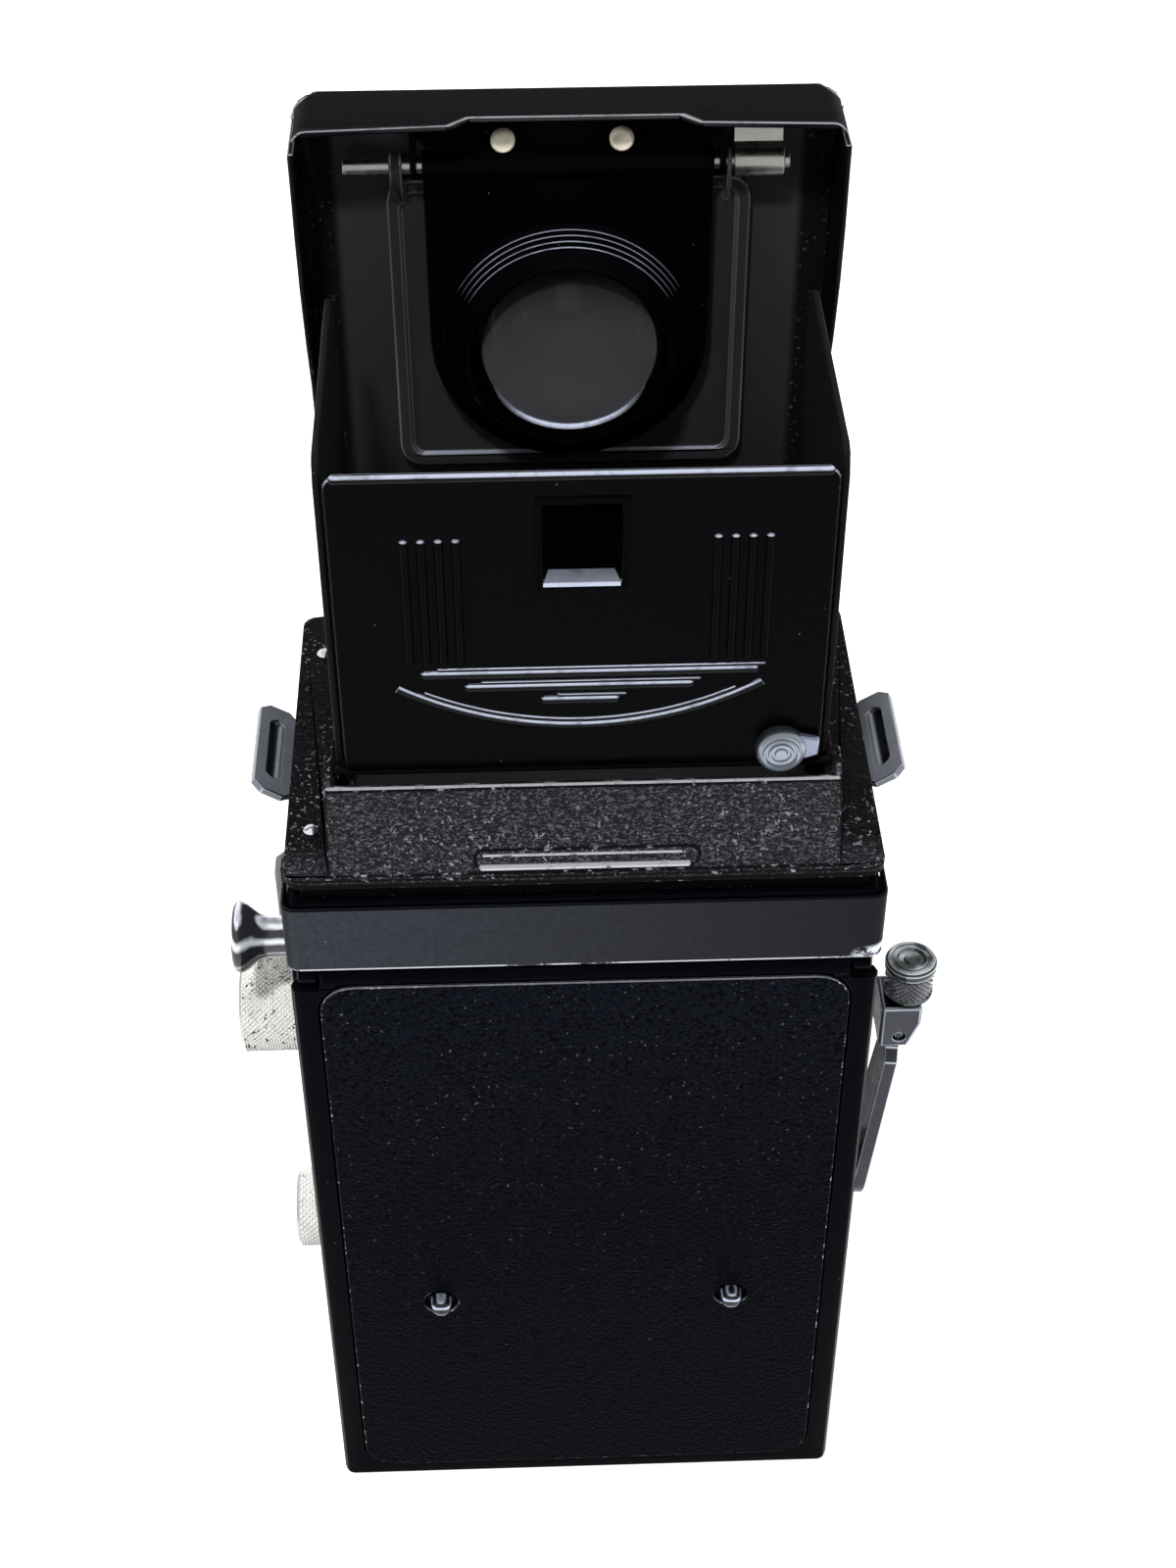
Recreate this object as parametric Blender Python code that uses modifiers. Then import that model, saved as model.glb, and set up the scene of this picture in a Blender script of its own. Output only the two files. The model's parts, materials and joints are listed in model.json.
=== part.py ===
"""Twin lens reflex camera for 120 film, modelled as its separate pieces.

Sizes and places are in millimetres and become metres where a mesh is made. The camera stands on its base at
z = 0 with its lenses facing -Y and its back facing +Y. +X is the side with the focusing knob and the two
spool knobs, -X the side with the winding crank.
"""

from math import atan2, cos, degrees, pi, radians, sin, sqrt

import bmesh
import bpy
from mathutils import Matrix, Vector

MM = 0.001
X, Y, Z = (1, 0, 0), (0, 1, 0), (0, 0, 1)

# Body
BODY_WIDTH = 76.0
BODY_DEPTH = 54.0
CASTING_TOP = 125.0
FLANGE_TOP = 129.75
FLANGE_SHEET = 1.4
FLANGE_HALF = 37.5
CASTING_HALF = BODY_WIDTH / 2 - 0.5
REAR = BODY_DEPTH / 2
FRONT = -BODY_DEPTH / 2
GAP = 0.3

# Optics: two 42 mm spaced axes and a 45 degree mirror
TAKING_Z = 62.0
VIEWING_Z = 104.0
FILM_Y = 20.0
FRAME_SIDE = 56.0
MIRROR_RISE = 113.3  # z - y everywhere on the mirror chamber's slanted floor
SCREEN_FRONT, SCREEN_REAR = -32.6, 17.4

# Film spools, whose axes run along X
UPPER_SPOOL = (11.2, 105.0)
LOWER_SPOOL = (-11.0, 20.5)
CHAMBER_RADIUS = 12.8
CHAMBER_HALF = 33.0
SPOOL_RADIUS = 12.3
SPOOL_HALF = 31.3
FILM_ROLLER = (17.6, 29.6)

# Door, hinged under the cover strip at the top of the back
DOOR_HINGE = (25.1, 111.8)
DOOR_SHEET = 2.8
DOOR_KNUCKLE = 1.9
STRIP_BOTTOM = 114.1
BASE_THICK = 4.8
BOSS_CENTRE = (0.0, -6.0)
BOSS_RADIUS = 9.0

# Hood
WALL_HALF = 31.9
WALL_SHEET = 1.0
LID_Y = -34.2
LID_HALF = 34.0
LID_TOP = 204.2
LID_BOTTOM = 143.8
SHEET = 0.8
SIDE_HINGE_X = 30.0
LEFT_HINGE_Z = 135.0
RIGHT_HINGE_Z = 137.0
SIDE_TOP = 184.6
REAR_HINGE = (18.0, 140.0)
REAR_PANEL_HALF = 29.2
REAR_PANEL_TOP = 183.4
ROD_Y, ROD_Z = -31.0, 196.0
LENS_Z = 172.6
MAGNIFIER_Y = -30.2

# Winding crank and its train of four equal gears, on the -X side
GEAR_TEETH = 24
TRAIN_LENGTH = 58.0
CRANK_Y = 5.0
CRANK_Z = UPPER_SPOOL[1] - sqrt(TRAIN_LENGTH**2 - (UPPER_SPOOL[0] - CRANK_Y) ** 2)
GEAR_RADIUS = TRAIN_LENGTH / 6
ARM_LEAN = 6.5
SIDE_PLATE_X = -CASTING_HALF - 1.1
HANDLE_HINGE_RISE = 31.7
HANDLE_SLOT = 3.8
GRIP_RADIUS = 3.7

# Focusing
FOCUS_KNOB = (5.0, 85.5)
FOCUS_RADIUS = 6.8
BOARD_BACK = FRONT - 0.6
BOARD_THICK = 5.4
BOARD_FRONT = BOARD_BACK - BOARD_THICK
BOARD_LOW, BOARD_HIGH = 31.0, 123.4

MATERIALS = {
    "black_paint": ((0.012, 0.012, 0.014), 0.0, 0.28),
    "gloss_black": ((0.006, 0.006, 0.008), 0.0, 0.12),
    "wrinkle_black": ((0.022, 0.021, 0.022), 0.0, 0.65),
    "matte_black": ((0.03, 0.03, 0.032), 0.0, 0.7),
    "leather": ((0.014, 0.014, 0.015), 0.0, 0.55),
    "chrome": ((0.62, 0.63, 0.66), 1.0, 0.14),
    "satin_chrome": ((0.5, 0.51, 0.53), 1.0, 0.32),
    "aluminium": ((0.78, 0.77, 0.74), 1.0, 0.4),
    "brass": ((0.74, 0.62, 0.36), 1.0, 0.35),
    "steel": ((0.42, 0.42, 0.43), 1.0, 0.38),
    "glass": ((0.75, 0.8, 0.85), 0.0, 0.03),
    "mirror": ((0.88, 0.89, 0.9), 1.0, 0.02),
    "screen_glass": ((0.7, 0.72, 0.7), 0.0, 0.35),
    "spool_plastic": ((0.02, 0.02, 0.022), 0.0, 0.4),
}


# ---------------------------------------------------------------- scene


def clear_scene():
    for obj in list(bpy.data.objects):
        bpy.data.objects.remove(obj)


def new_collection(name):
    collection = bpy.data.collections.new(name)
    bpy.context.scene.collection.children.link(collection)
    return collection


def new_material(name, colour, metallic, roughness):
    material = bpy.data.materials.new(name)
    material.use_nodes = True
    shader = material.node_tree.nodes["Principled BSDF"]
    shader.inputs["Base Color"].default_value = (*colour, 1.0)
    shader.inputs["Metallic"].default_value = metallic
    shader.inputs["Roughness"].default_value = roughness
    if name == "glass":
        shader.inputs["Transmission Weight"].default_value = 0.9
    return material


clear_scene()
CAMERA = new_collection("twin_lens_reflex_camera")
TOOLS = new_collection("tools")
PAINTS = {name: new_material(name, *values) for name, values in MATERIALS.items()}


def body(name, pivot):
    """An empty on a moving group's axis; the pieces of the group are parented to it."""
    empty = bpy.data.objects.new(name + "_axis", None)
    empty.location = Vector(pivot) * MM
    empty.empty_display_size = 5 * MM
    CAMERA.objects.link(empty)
    return empty


def finish(obj, paint, carrier=None, smooth_below=35):
    """Gives a piece its material and smooth round faces, and hangs it on its body."""
    obj.data.materials.clear()
    obj.data.materials.append(PAINTS[paint])
    obj.data.shade_smooth()
    obj.data.set_sharp_from_angle(angle=radians(smooth_below))
    if carrier:
        obj.parent = carrier
        obj.matrix_parent_inverse = Matrix.Translation(-carrier.location)
    return obj


# ---------------------------------------------------------------- shapes


def new_object(name, mesh, place=(0, 0, 0)):
    obj = bpy.data.objects.new(name, mesh)
    obj.location = Vector(place) * MM
    CAMERA.objects.link(obj)
    return obj


def mesh_from(name, form):
    mesh = bpy.data.meshes.new(name)
    form.to_mesh(mesh)
    form.free()
    return mesh


def box(name, low, high, bevel=0.0, segments=2):
    """A block between two corners, its edges rounded by a Bevel."""
    low, high = Vector(low), Vector(high)
    form = bmesh.new()
    bmesh.ops.create_cube(form, size=MM)
    bmesh.ops.scale(form, vec=high - low, verts=form.verts)
    obj = new_object(name, mesh_from(name, form), (low + high) / 2)
    if bevel:
        add_bevel(obj, bevel, segments)
    return obj


def add_bevel(obj, width, segments=2, angle=40):
    modifier = obj.modifiers.new("round", "BEVEL")
    modifier.width = width * MM
    modifier.segments = segments
    modifier.limit_method = "ANGLE"
    modifier.angle_limit = radians(angle)
    return obj


def rod(name, radius, start, end, sides=24, end_radius=None):
    """A cylinder, or a cone, between two points."""
    start, end = Vector(start), Vector(end)
    form = bmesh.new()
    bmesh.ops.create_cone(
        form, cap_ends=True, segments=sides, radius1=radius * MM,
        radius2=(radius if end_radius is None else end_radius) * MM, depth=(end - start).length * MM,
    )
    obj = new_object(name, mesh_from(name, form), (start + end) / 2)
    obj.rotation_mode = "QUATERNION"
    obj.rotation_quaternion = (end - start).to_track_quat("Z", "Y")
    return obj


def turned(name, profile, origin, axis, steps=32):
    """A turned piece. profile lists (radius, height) down its outer side; a ring's list closes."""
    solid = profile[0][0] == 0 and profile[-1][0] == 0
    form = bmesh.new()
    points = [form.verts.new((radius * MM, 0, height * MM)) for radius, height in profile]
    pairs = list(zip(points, points[1:]))
    if not solid:
        pairs.append((points[-1], points[0]))
    for pair in pairs:
        form.edges.new(pair)
    obj = new_object(name, mesh_from(name, form), origin)
    obj.rotation_mode = "QUATERNION"
    obj.rotation_quaternion = Vector(axis).to_track_quat("Z", "Y")
    screw = obj.modifiers.new("turn", "SCREW")
    screw.axis = "Z"
    screw.steps = screw.render_steps = steps
    screw.use_merge_vertices = True
    screw.merge_threshold = 0.00001
    return obj


PLANES = {
    "X": Matrix(((0, 0, 1), (1, 0, 0), (0, 1, 0))),
    "Y": Matrix(((1, 0, 0), (0, 0, -1), (0, 1, 0))),
    "Z": Matrix.Identity(3),
}


def plate(name, outline, normal, low, high, holes=()):
    """A flat outline given in the two axes across its normal, filled from low to high along that normal."""
    curve = bpy.data.curves.new(name, "CURVE")
    curve.dimensions = "2D"
    curve.fill_mode = "BOTH"
    curve.extrude = (high - low) / 2 * MM
    for points in (outline, *holes):
        spline = curve.splines.new("POLY")
        spline.points.add(len(points) - 1)
        for point, (u, v) in zip(spline.points, points):
            point.co = (u * MM, v * MM, 0, 1)
        spline.use_cyclic_u = True
    drawn = bpy.data.objects.new(name + "_outline", curve)
    CAMERA.objects.link(drawn)
    middle = Vector({"X": X, "Y": Y, "Z": Z}[normal]) * (low + high) / 2 * MM
    drawn.matrix_world = Matrix.Translation(middle) @ PLANES[normal].to_4x4()
    graph = bpy.context.evaluated_depsgraph_get()
    mesh = bpy.data.meshes.new_from_object(drawn.evaluated_get(graph))
    form = bmesh.new()
    form.from_mesh(mesh)
    bmesh.ops.remove_doubles(form, verts=form.verts, dist=1e-6)
    bmesh.ops.recalc_face_normals(form, faces=form.faces)
    form.to_mesh(mesh)
    form.free()
    obj = bpy.data.objects.new(name, mesh)
    obj.matrix_world = drawn.matrix_world
    CAMERA.objects.link(obj)
    bpy.data.objects.remove(drawn)
    return obj


def arc(centre, radius, start, end, steps):
    """Points on an arc, with its angles in degrees."""
    angles = [radians(start + (end - start) * i / steps) for i in range(steps + 1)]
    return [(centre[0] + radius * cos(a), centre[1] + radius * sin(a)) for a in angles]


def circle(centre, radius, steps=24):
    return arc(centre, radius, 0, 360 - 360 / steps, steps - 1)


def rounded(low, high, radius, steps=4):
    """A rectangle with round corners, anticlockwise from its lower left one."""
    (a, b), (c, d) = low, high
    corners = (((a, b), 180), ((c, b), 270), ((c, d), 0), ((a, d), 90))
    points = []
    for (u, v), start in corners:
        centre = (u + radius * (1 if u == a else -1), v + radius * (1 if v == b else -1))
        points += arc(centre, radius, start, start + 90, steps)
    return points


def slot_outline(centre, length, width, steps=6):
    """A slot with round ends whose long side runs along the first axis."""
    (u, v), run, radius = centre, (length - width) / 2, width / 2
    return arc((u + run, v), radius, -90, 90, steps) + arc((u - run, v), radius, 90, 270, steps)


# ---------------------------------------------------------------- joins


def to_tools(obj):
    """Makes an object a helper of a Boolean: out of the render, drawn as wires."""
    for collection in list(obj.users_collection):
        collection.objects.unlink(obj)
    TOOLS.objects.link(obj)
    obj.hide_render = True
    obj.display_type = "WIRE"


def boolean(obj, operation, others):
    for other in others:
        modifier = obj.modifiers.new(operation.lower(), "BOOLEAN")
        modifier.operation = operation
        modifier.object = other
        to_tools(other)
    return obj


def cut(obj, *cutters):
    return boolean(obj, "DIFFERENCE", cutters)


def fuse(obj, *others):
    return boolean(obj, "UNION", others)


# ---------------------------------------------------------------- body casting


def make_casting():
    """The die-cast body: two spool chambers, the film gate with its light cone, and the mirror chamber."""
    casting = box(
        "body_casting", (-CASTING_HALF, FRONT, BASE_THICK + GAP),
        (CASTING_HALF, REAR - DOOR_SHEET - GAP, CASTING_TOP), bevel=1.6, segments=2,
    )
    shoulder = box(
        "shoulder", (-CASTING_HALF, FRONT + 8, STRIP_BOTTOM), (CASTING_HALF, REAR - 0.9, CASTING_TOP),
        bevel=1.2,
    )
    fuse(casting, shoulder)

    uy, uz = UPPER_SPOOL
    ly, lz = LOWER_SPOOL
    half = CHAMBER_HALF
    back = REAR - DOOR_SHEET + 0.5
    cutters = [
        rod("upper_chamber", CHAMBER_RADIUS, (-half, uy, uz), (half, uy, uz), 20),
        box("upper_mouth", (-half, uy - 1.3, uz - 12), (half, back, STRIP_BOTTOM - 0.6)),
        rod("lower_chamber", CHAMBER_RADIUS, (-half, ly, lz), (half, ly, lz), 20),
        box("lower_mouth", (-half, ly - 12.6, 3), (half, ly + 12.6, lz - 0.9)),
        box("lower_film_way", (-half, ly + 1.1, 3.2), (half, back + 0.2, 29)),
        box("film_bed", (-half, FILM_Y, 4), (half, back + 0.4, STRIP_BOTTOM - 1)),
        rod("roller_way", 2.7, (-half, *FILM_ROLLER), (half, *FILM_ROLLER), 12),
        rod("roller_seat", 1.2, (-half - 1.4, *FILM_ROLLER), (half + 1.4, *FILM_ROLLER), 10),
        light_cone(),
        plate("mirror_chamber", mirror_chamber_outline(), "X", -29, 29),
        rod("viewing_hole", 17.5, (0, FRONT - 1, VIEWING_Z), (0, -22, VIEWING_Z), 22),
        box("knuckle_way", (-34.5, 22.6, 106.4), (34.5, back + 0.3, STRIP_BOTTOM - 0.2)),
    ]
    for side, (knob_y, knob_z), radius in (
        (1, UPPER_SPOOL, 3.4), (1, LOWER_SPOOL, 3.4), (1, FOCUS_KNOB, 2.3), (-1, UPPER_SPOOL, 2.7),
    ):
        cutters.append(
            rod(
                "bore", radius, (side * (half - 4), knob_y, knob_z),
                (side * (CASTING_HALF + 1), knob_y, knob_z), 14,
            )
        )
    for gear_y, gear_z in gear_centres():
        cutters.append(
            rod(
                "gear_pocket", GEAR_RADIUS + 1.1, (-CASTING_HALF - 1, gear_y, gear_z),
                (-34.3, gear_y, gear_z), 18,
            )
        )
    for post_x, post_z in guide_posts():
        cutters.append(rod("post_bore", 2.2, (post_x, FRONT - 1, post_z), (post_x, FRONT + 12, post_z), 10))
    cutters.append(rod("release_bore", 1.7, (-27, FRONT - 1, 17), (-27, FRONT + 3.3, 17), 10))
    cut(casting, *cutters)
    stud = [(0, 5.0), (1.6, 5.0), (2.2, 4.3), (2.2, -0.5), (0, -0.5)]
    spool_stud = turned("spool_stud", stud, (-CHAMBER_HALF, *LOWER_SPOOL), X, 12)
    fuse(casting, *gear_axles(), *hinge_ears(), spool_stud)
    cut(casting, rod("hinge_seat", 0.9, (-36.4, *DOOR_HINGE), (36.4, *DOOR_HINGE), 10))
    finish(casting, "black_paint")


def hinge_ears():
    """Two ears under the cover strip that hold the ends of the door's hinge pin."""
    ears = []
    hinge_y, hinge_z = DOOR_HINGE
    for side in (-1, 1):
        inner, outer = sorted((side * 34.6, side * 36.9))
        ears.append(rod("ear", 1.4, (inner, *DOOR_HINGE), (outer, *DOOR_HINGE), 12))
        ears.append(box("ear_web", (inner + 0.05, 22.4, hinge_z - 0.8), (outer - 0.05, hinge_y, hinge_z + 4)))
    return ears


def light_cone():
    """The pyramid of light between the lens and the film gate, as a four-sided cone."""
    corner = sqrt(2)
    obj = rod(
        "light_cone", FRAME_SIDE / 2 * corner, (0, FILM_Y + 1, TAKING_Z), (0, FRONT - 2, TAKING_Z), 4,
        end_radius=15.5 * corner,
    )
    obj.rotation_quaternion = (
        Vector((0, -1, 0)).to_track_quat("Z", "Y") @ Matrix.Rotation(pi / 4, 3, "Z").to_quaternion()
    )
    return obj


def mirror_chamber_outline():
    low = -24.0
    return [(low, low + MIRROR_RISE), (18.2, 18.2 + MIRROR_RISE), (18.2, 140), (low, 140)]


def gear_centres():
    """The crank's gear, two idlers and the take-up gear, evenly along one line."""
    step = ((UPPER_SPOOL[0] - CRANK_Y) / 3, (UPPER_SPOOL[1] - CRANK_Z) / 3)
    return [(CRANK_Y + step[0] * i, CRANK_Z + step[1] * i) for i in range(4)]


def gear_axles():
    return [
        rod("idler_axle", 1.6, (-34.6 + 1.2, y, z), (-36.4, y, z), 10) for y, z in gear_centres()[1:3]
    ]


def guide_posts():
    return [(x, z) for x in (-28.5, 28.5) for z in (39.0, 84.5)]


def make_gear(name, index):
    """One gear of the train. Neighbours start with a tooth and a gap on the line of centres."""
    y, z = gear_centres()[index]
    following = gear_centres()[3]
    first = gear_centres()[0]
    line = Vector((following[0] - first[0], following[1] - first[1])).angle_signed(Vector((1, 0)))
    pitch = 2 * pi / GEAR_TEETH
    module = 2 * GEAR_RADIUS / GEAR_TEETH
    root, tip = GEAR_RADIUS - 1.05 * module, GEAR_RADIUS + 0.7 * module
    outline = []
    for tooth in range(GEAR_TEETH):
        middle = line + pitch * (tooth + (0.5 if index % 2 else 0.0))
        for radius, share in ((root, -0.3), (tip, -0.1), (tip, 0.1), (root, 0.3)):
            angle = middle + pitch * share
            outline.append((y + radius * cos(angle), z + radius * sin(angle)))
    bores = [circle((y, z), 1.85, 16)] if index in (1, 2) else []
    return plate(name, outline, "X", -36.3, -34.7, bores)


def make_top_strip():
    """The smooth strip that covers the door hinge across the back, bent round both corners."""
    half = BODY_WIDTH / 2 + 0.2
    outer, inner = 1.8, 1.3
    outline = [(-half, 21.0)] + arc((outer - half, REAR - outer), outer, 180, 90, 5)
    outline += arc((half - outer, REAR - outer), outer, 90, 0, 5) + [(half, 21.0), (half - 0.5, 21.0)]
    outline += arc((half - outer, REAR - outer), inner, 0, 90, 4)
    outline += arc((outer - half, REAR - outer), inner, 90, 180, 4) + [(0.5 - half, 21.0)]
    strip = plate("hinge_cover_strip", outline, "Z", STRIP_BOTTOM, CASTING_TOP - 0.2)
    finish(strip, "black_paint")


def make_side_skins():
    """The leathered side covers, open round the shafts and the crank's side plate."""
    outline = rounded((-24.5, 8), (20.0, 117), 3)
    holes = [circle(c, r) for c, r in ((UPPER_SPOOL, 4.2), (LOWER_SPOOL, 4.2), (FOCUS_KNOB, 3))]
    skin = plate("side_cover_left", outline, "X", CASTING_HALF + 0.04, CASTING_HALF + 0.9, holes)
    finish(skin, "leather")
    skin = plate(
        "side_cover_right", outline, "X", -CASTING_HALF - 0.5, -CASTING_HALF - 0.04, [side_plate_outline(0.4)]
    )
    finish(skin, "leather")


def side_plate_outline(margin=0.0):
    return rounded((-8.0 - margin, 33.0 - margin), (18.6 + margin, 116.0 + margin), 9 + margin, 6)


def make_side_plate():
    """The plate that closes the gear train and bears the crank."""
    obj = plate(
        "crank_side_plate", side_plate_outline(), "X", SIDE_PLATE_X, -CASTING_HALF - 0.06,
        [circle((CRANK_Y, CRANK_Z), 3.0)],
    )
    finish(obj, "satin_chrome")


def make_front_apron():
    """The fixed lower front, below the lens board, with the release bush and the flash terminal."""
    outline = rounded((-35, 7), (35, 29.5), 3)
    apron = plate("front_apron", outline, "Y", FRONT - 3.2, FRONT - 0.04, [circle((-27, 17), 3.4, 20)])
    finish(add_bevel(apron, 0.5, 1), "leather")
    profile = [(3.0, 5.0), (4.0, 4.2), (4.0, 3.5), (3.1, 3.5), (3.1, 0.1), (1.9, 0.1), (1.9, 5.0)]
    bush = turned("release_bush", profile, (-27, FRONT, 17), (0, -1, 0), 16)
    finish(bush, "chrome")
    profile = [
        (0, 1.8), (1.0, 1.8), (1.0, 4.6), (1.5, 5.0), (2.6, 5.0), (2.9, 3.5), (4.0, 3.4), (4.0, 0.05),
        (0, 0.05),
    ]
    terminal = turned("flash_terminal", profile, (27, FRONT - 3.2, 17), (0, -1, 0), 14)
    finish(terminal, "chrome")


def make_release_button():
    carrier = body("release_button", (-27, FRONT - 5, 17))
    profile = [(0, 10.0), (2.2, 9.8), (3.4, 9.0), (3.4, 8.3), (1.6, 8.3), (1.6, -0.1), (0, -0.1)]
    finish(turned("release_button", profile, (-27, FRONT, 17), (0, -1, 0), 16), "chrome", carrier)


# ---------------------------------------------------------------- lugs and shoe


def make_lug(name, side):
    """A strap lug: a bent plate on the flank with a long slot in its raised wing."""
    wing = plate("wing", lug_outline(), "Z", -0.55, 0.55, [slot_outline((0, 2.9), 11.6, 2.1, 5)])
    foot = box("foot", (-6.0, -0.6, -4.6), (6.0, 0.55, 0.4), 0.3, 1)
    fuse(wing, foot)
    wing.name = name
    turn = Matrix.Rotation(radians(-90 * side), 4, "Z") @ Matrix.Rotation(radians(32), 4, "X")
    place = Matrix.Translation(Vector((side * 38.3, -4.2, 122.9)) * MM)
    wing.matrix_world = place @ turn
    foot.matrix_world = place @ turn @ Matrix.Rotation(radians(-32), 4, "X") @ Matrix.Translation(
        Vector((0, -0.02, -2.1)) * MM
    )
    finish(wing, "chrome")


def lug_outline():
    """A wing 17 mm long and 6 mm out from the flank, with its outer corners cut off."""
    return [(-7, -0.6), (7, -0.6), (8.6, 1.2), (8.6, 4.2), (7.4, 5.6), (-7.4, 5.6), (-8.6, 4.2), (-8.6, 1.2)]


def make_shoe():
    """The accessory shoe: a channel whose two lips turn in over the foot of an accessory."""
    low, high = -24.5, -3.0
    base, lip = CASTING_HALF + 1.2, 45.0
    profile = [
        (base, low), (lip, low), (lip, low + 3.4), (lip - 1.1, low + 3.4), (lip - 1.1, low + 1.2),
        (base + 1.3, low + 1.2), (base + 1.3, high - 1.2), (lip - 1.1, high - 1.2), (lip - 1.1, high - 3.4),
        (lip, high - 3.4), (lip, high), (base, high),
    ]
    shoe = plate("accessory_shoe", profile, "Z", 69.5, 87.5)
    corner = box("corner", (42.6, -30, 86.2), (50, 2, 92))
    corner.rotation_euler = (0, radians(40), 0)
    cut(shoe, corner)
    finish(shoe, "satin_chrome")


# ---------------------------------------------------------------- door


def make_door():
    carrier = body("door", (0, *DOOR_HINGE))
    half = BODY_WIDTH / 2
    inner = REAR - DOOR_SHEET
    shell = box("door_shell", (-half, inner, 0.15), (half, REAR, DOOR_HINGE[1]), 1.3, 2)
    base = box("base", (-half, FRONT + 0.2, 2.0), (half, inner + 1, BASE_THICK), 0.8, 2)
    knuckle = rod("knuckle", DOOR_KNUCKLE, (-34, *DOOR_HINGE), (34, *DOOR_HINGE), 16)
    rails = [
        box("rail", (-34, FRONT + 1, 0), (34, FRONT + 7.5, 2.8), 0.6, 1),
        box("rail", (-34, REAR - 12, 0), (34, REAR - 1.4, 2.8), 0.6, 1),
    ]
    boss = rod("boss", BOSS_RADIUS, (*BOSS_CENTRE, 0), (*BOSS_CENTRE, 3), 24)
    fuse(shell, base, knuckle, *rails, boss)
    cutters = [
        rod("pin_bore", 0.85, (-36, *DOOR_HINGE), (36, *DOOR_HINGE), 12),
        rod("tripod_hole", 2.8, (*BOSS_CENTRE, -1), (*BOSS_CENTRE, 4.2), 14),
        leather_panel("leather_recess", 0.3, REAR - 0.6, REAR + 1),
        box("end_left", (34.2, 20, DOOR_HINGE[1] - 1.5), (40, 30, 120)),
        box("end_right", (-40, 20, DOOR_HINGE[1] - 1.5), (-34.2, 30, 120)),
    ]
    for x, z in pressure_posts():
        cutters.append(rod("post_hole", 1.5, (x, inner - 1, z), (x, inner + 1.7, z), 10))
    cut(shell, *cutters)
    finish(shell, "black_paint", carrier)

    leather = leather_panel(
        "door_leather", 0.0, REAR - 0.3, REAR + 0.2, [circle(c, 2.5, 20) for c in door_feet()]
    )
    finish(leather, "leather", carrier)
    profile = [(0, 2.2), (0.9, 2.1), (1.6, 1.7), (2.0, 1.0), (2.15, 0.2), (2.15, -0.25), (0, -0.25)]
    for side, (x, z) in zip(("left", "right"), door_feet()):
        finish(turned(f"door_foot_{side}", profile, (x, REAR, z), Y, 16), "chrome", carrier)
    finish(rod("door_hinge_pin", 0.7, (-36.2, *DOOR_HINGE), (36.2, *DOOR_HINGE), 12), "steel")
    return carrier


def leather_panel(name, margin, low, high, holes=()):
    corner_low, corner_high = (-34.4 - margin, 3.6 - margin), (34.4 + margin, 111.0 + margin)
    return plate(name, rounded(corner_low, corner_high, 4.5 + margin, 5), "Y", low, high, holes)


def door_feet():
    return ((21.2, 44.8), (-21.2, 44.8))


def pressure_posts():
    return [(x, z) for x in (-22, 22) for z in (40, 84)]


def make_pressure_plate(door):
    """The sprung plate that holds the film flat in the gate, on four posts in the door."""
    carrier = body("pressure_plate", (0, 22, TAKING_Z))
    carrier.parent = door
    carrier.matrix_parent_inverse = Matrix.Translation(-door.location)
    pressing = plate(
        "pressure_plate", rounded((-31.5, 31.5), (31.5, 92.5), 3), "Y", 21.2, 22.2
    )
    fuse(pressing, *[rod("post", 1.2, (x, 21.8, z), (x, 25.0, z), 8) for x, z in pressure_posts()])
    finish(pressing, "matte_black", carrier)


def make_lock_ring(door):
    """The knurled ring round the tripod boss that turns to unlock the door."""
    carrier = body("door_lock", (*BOSS_CENTRE, 1))
    carrier.parent = door
    carrier.matrix_parent_inverse = Matrix.Translation(-door.location)
    outline = scalloped(BOSS_CENTRE, 13.0, 0.5, 24)
    outer = plate("door_lock_ring", outline, "Z", 0.2, 1.7, [circle(BOSS_CENTRE, BOSS_RADIUS + 0.4, 24)])
    finish(outer, "satin_chrome", carrier)


def scalloped(centre, radius, depth, teeth):
    """A round outline with evenly spaced notches for grip."""
    points = []
    for i in range(teeth * 2):
        angle = pi * i / teeth
        reach = radius if i % 2 else radius - depth
        points.append((centre[0] + reach * cos(angle), centre[1] + reach * sin(angle)))
    return points


# ---------------------------------------------------------------- knobs and spools


def make_spool_knob(name, place, profile, paint):
    """A pull knob: its pin carries the spool's end and leaves it when the knob is pulled out."""
    carrier = body(name, (CASTING_HALF, *place))
    knob = turned(name, profile, (CASTING_HALF, *place), X, 18)
    finish(knob, paint, carrier)


def make_spool_knobs():
    waisted = [
        (0, 9.4), (4.6, 9.4), (5.6, 8.9), (5.7, 8.1), (5.2, 7.4), (3.9, 6.4), (3.3, 5.2), (3.1, 3.8),
        (3.1, -2.0), (2.2, -2.2), (2.2, -8.6), (1.4, -9.4), (0, -9.4),
    ]
    make_spool_knob("upper_spool_knob", UPPER_SPOOL, waisted, "chrome")
    broad = [
        (0, 8.3), (5.6, 8.3), (6.4, 7.7), (6.4, 4.9), (5.6, 4.3), (3.1, 3.5), (3.1, -2.0), (2.2, -2.2),
        (2.2, -8.6), (1.4, -9.4), (0, -9.4),
    ]
    make_spool_knob("lower_spool_knob", LOWER_SPOOL, broad, "aluminium")


def spool_profile():
    """A 120 spool's section: flanges, core and the blind holes that the pins enter."""
    half = [
        (2.7, SPOOL_HALF - 5), (2.7, SPOOL_HALF), (SPOOL_RADIUS, SPOOL_HALF), (SPOOL_RADIUS, SPOOL_HALF - 1.0)
    ]
    half += [(6.2, SPOOL_HALF - 1.6), (5.4, SPOOL_HALF - 2.6)]
    lower = [(radius, -height) for radius, height in reversed(half)]
    return [(0, SPOOL_HALF - 5)] + half + lower + [(0, -SPOOL_HALF + 5)]


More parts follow.
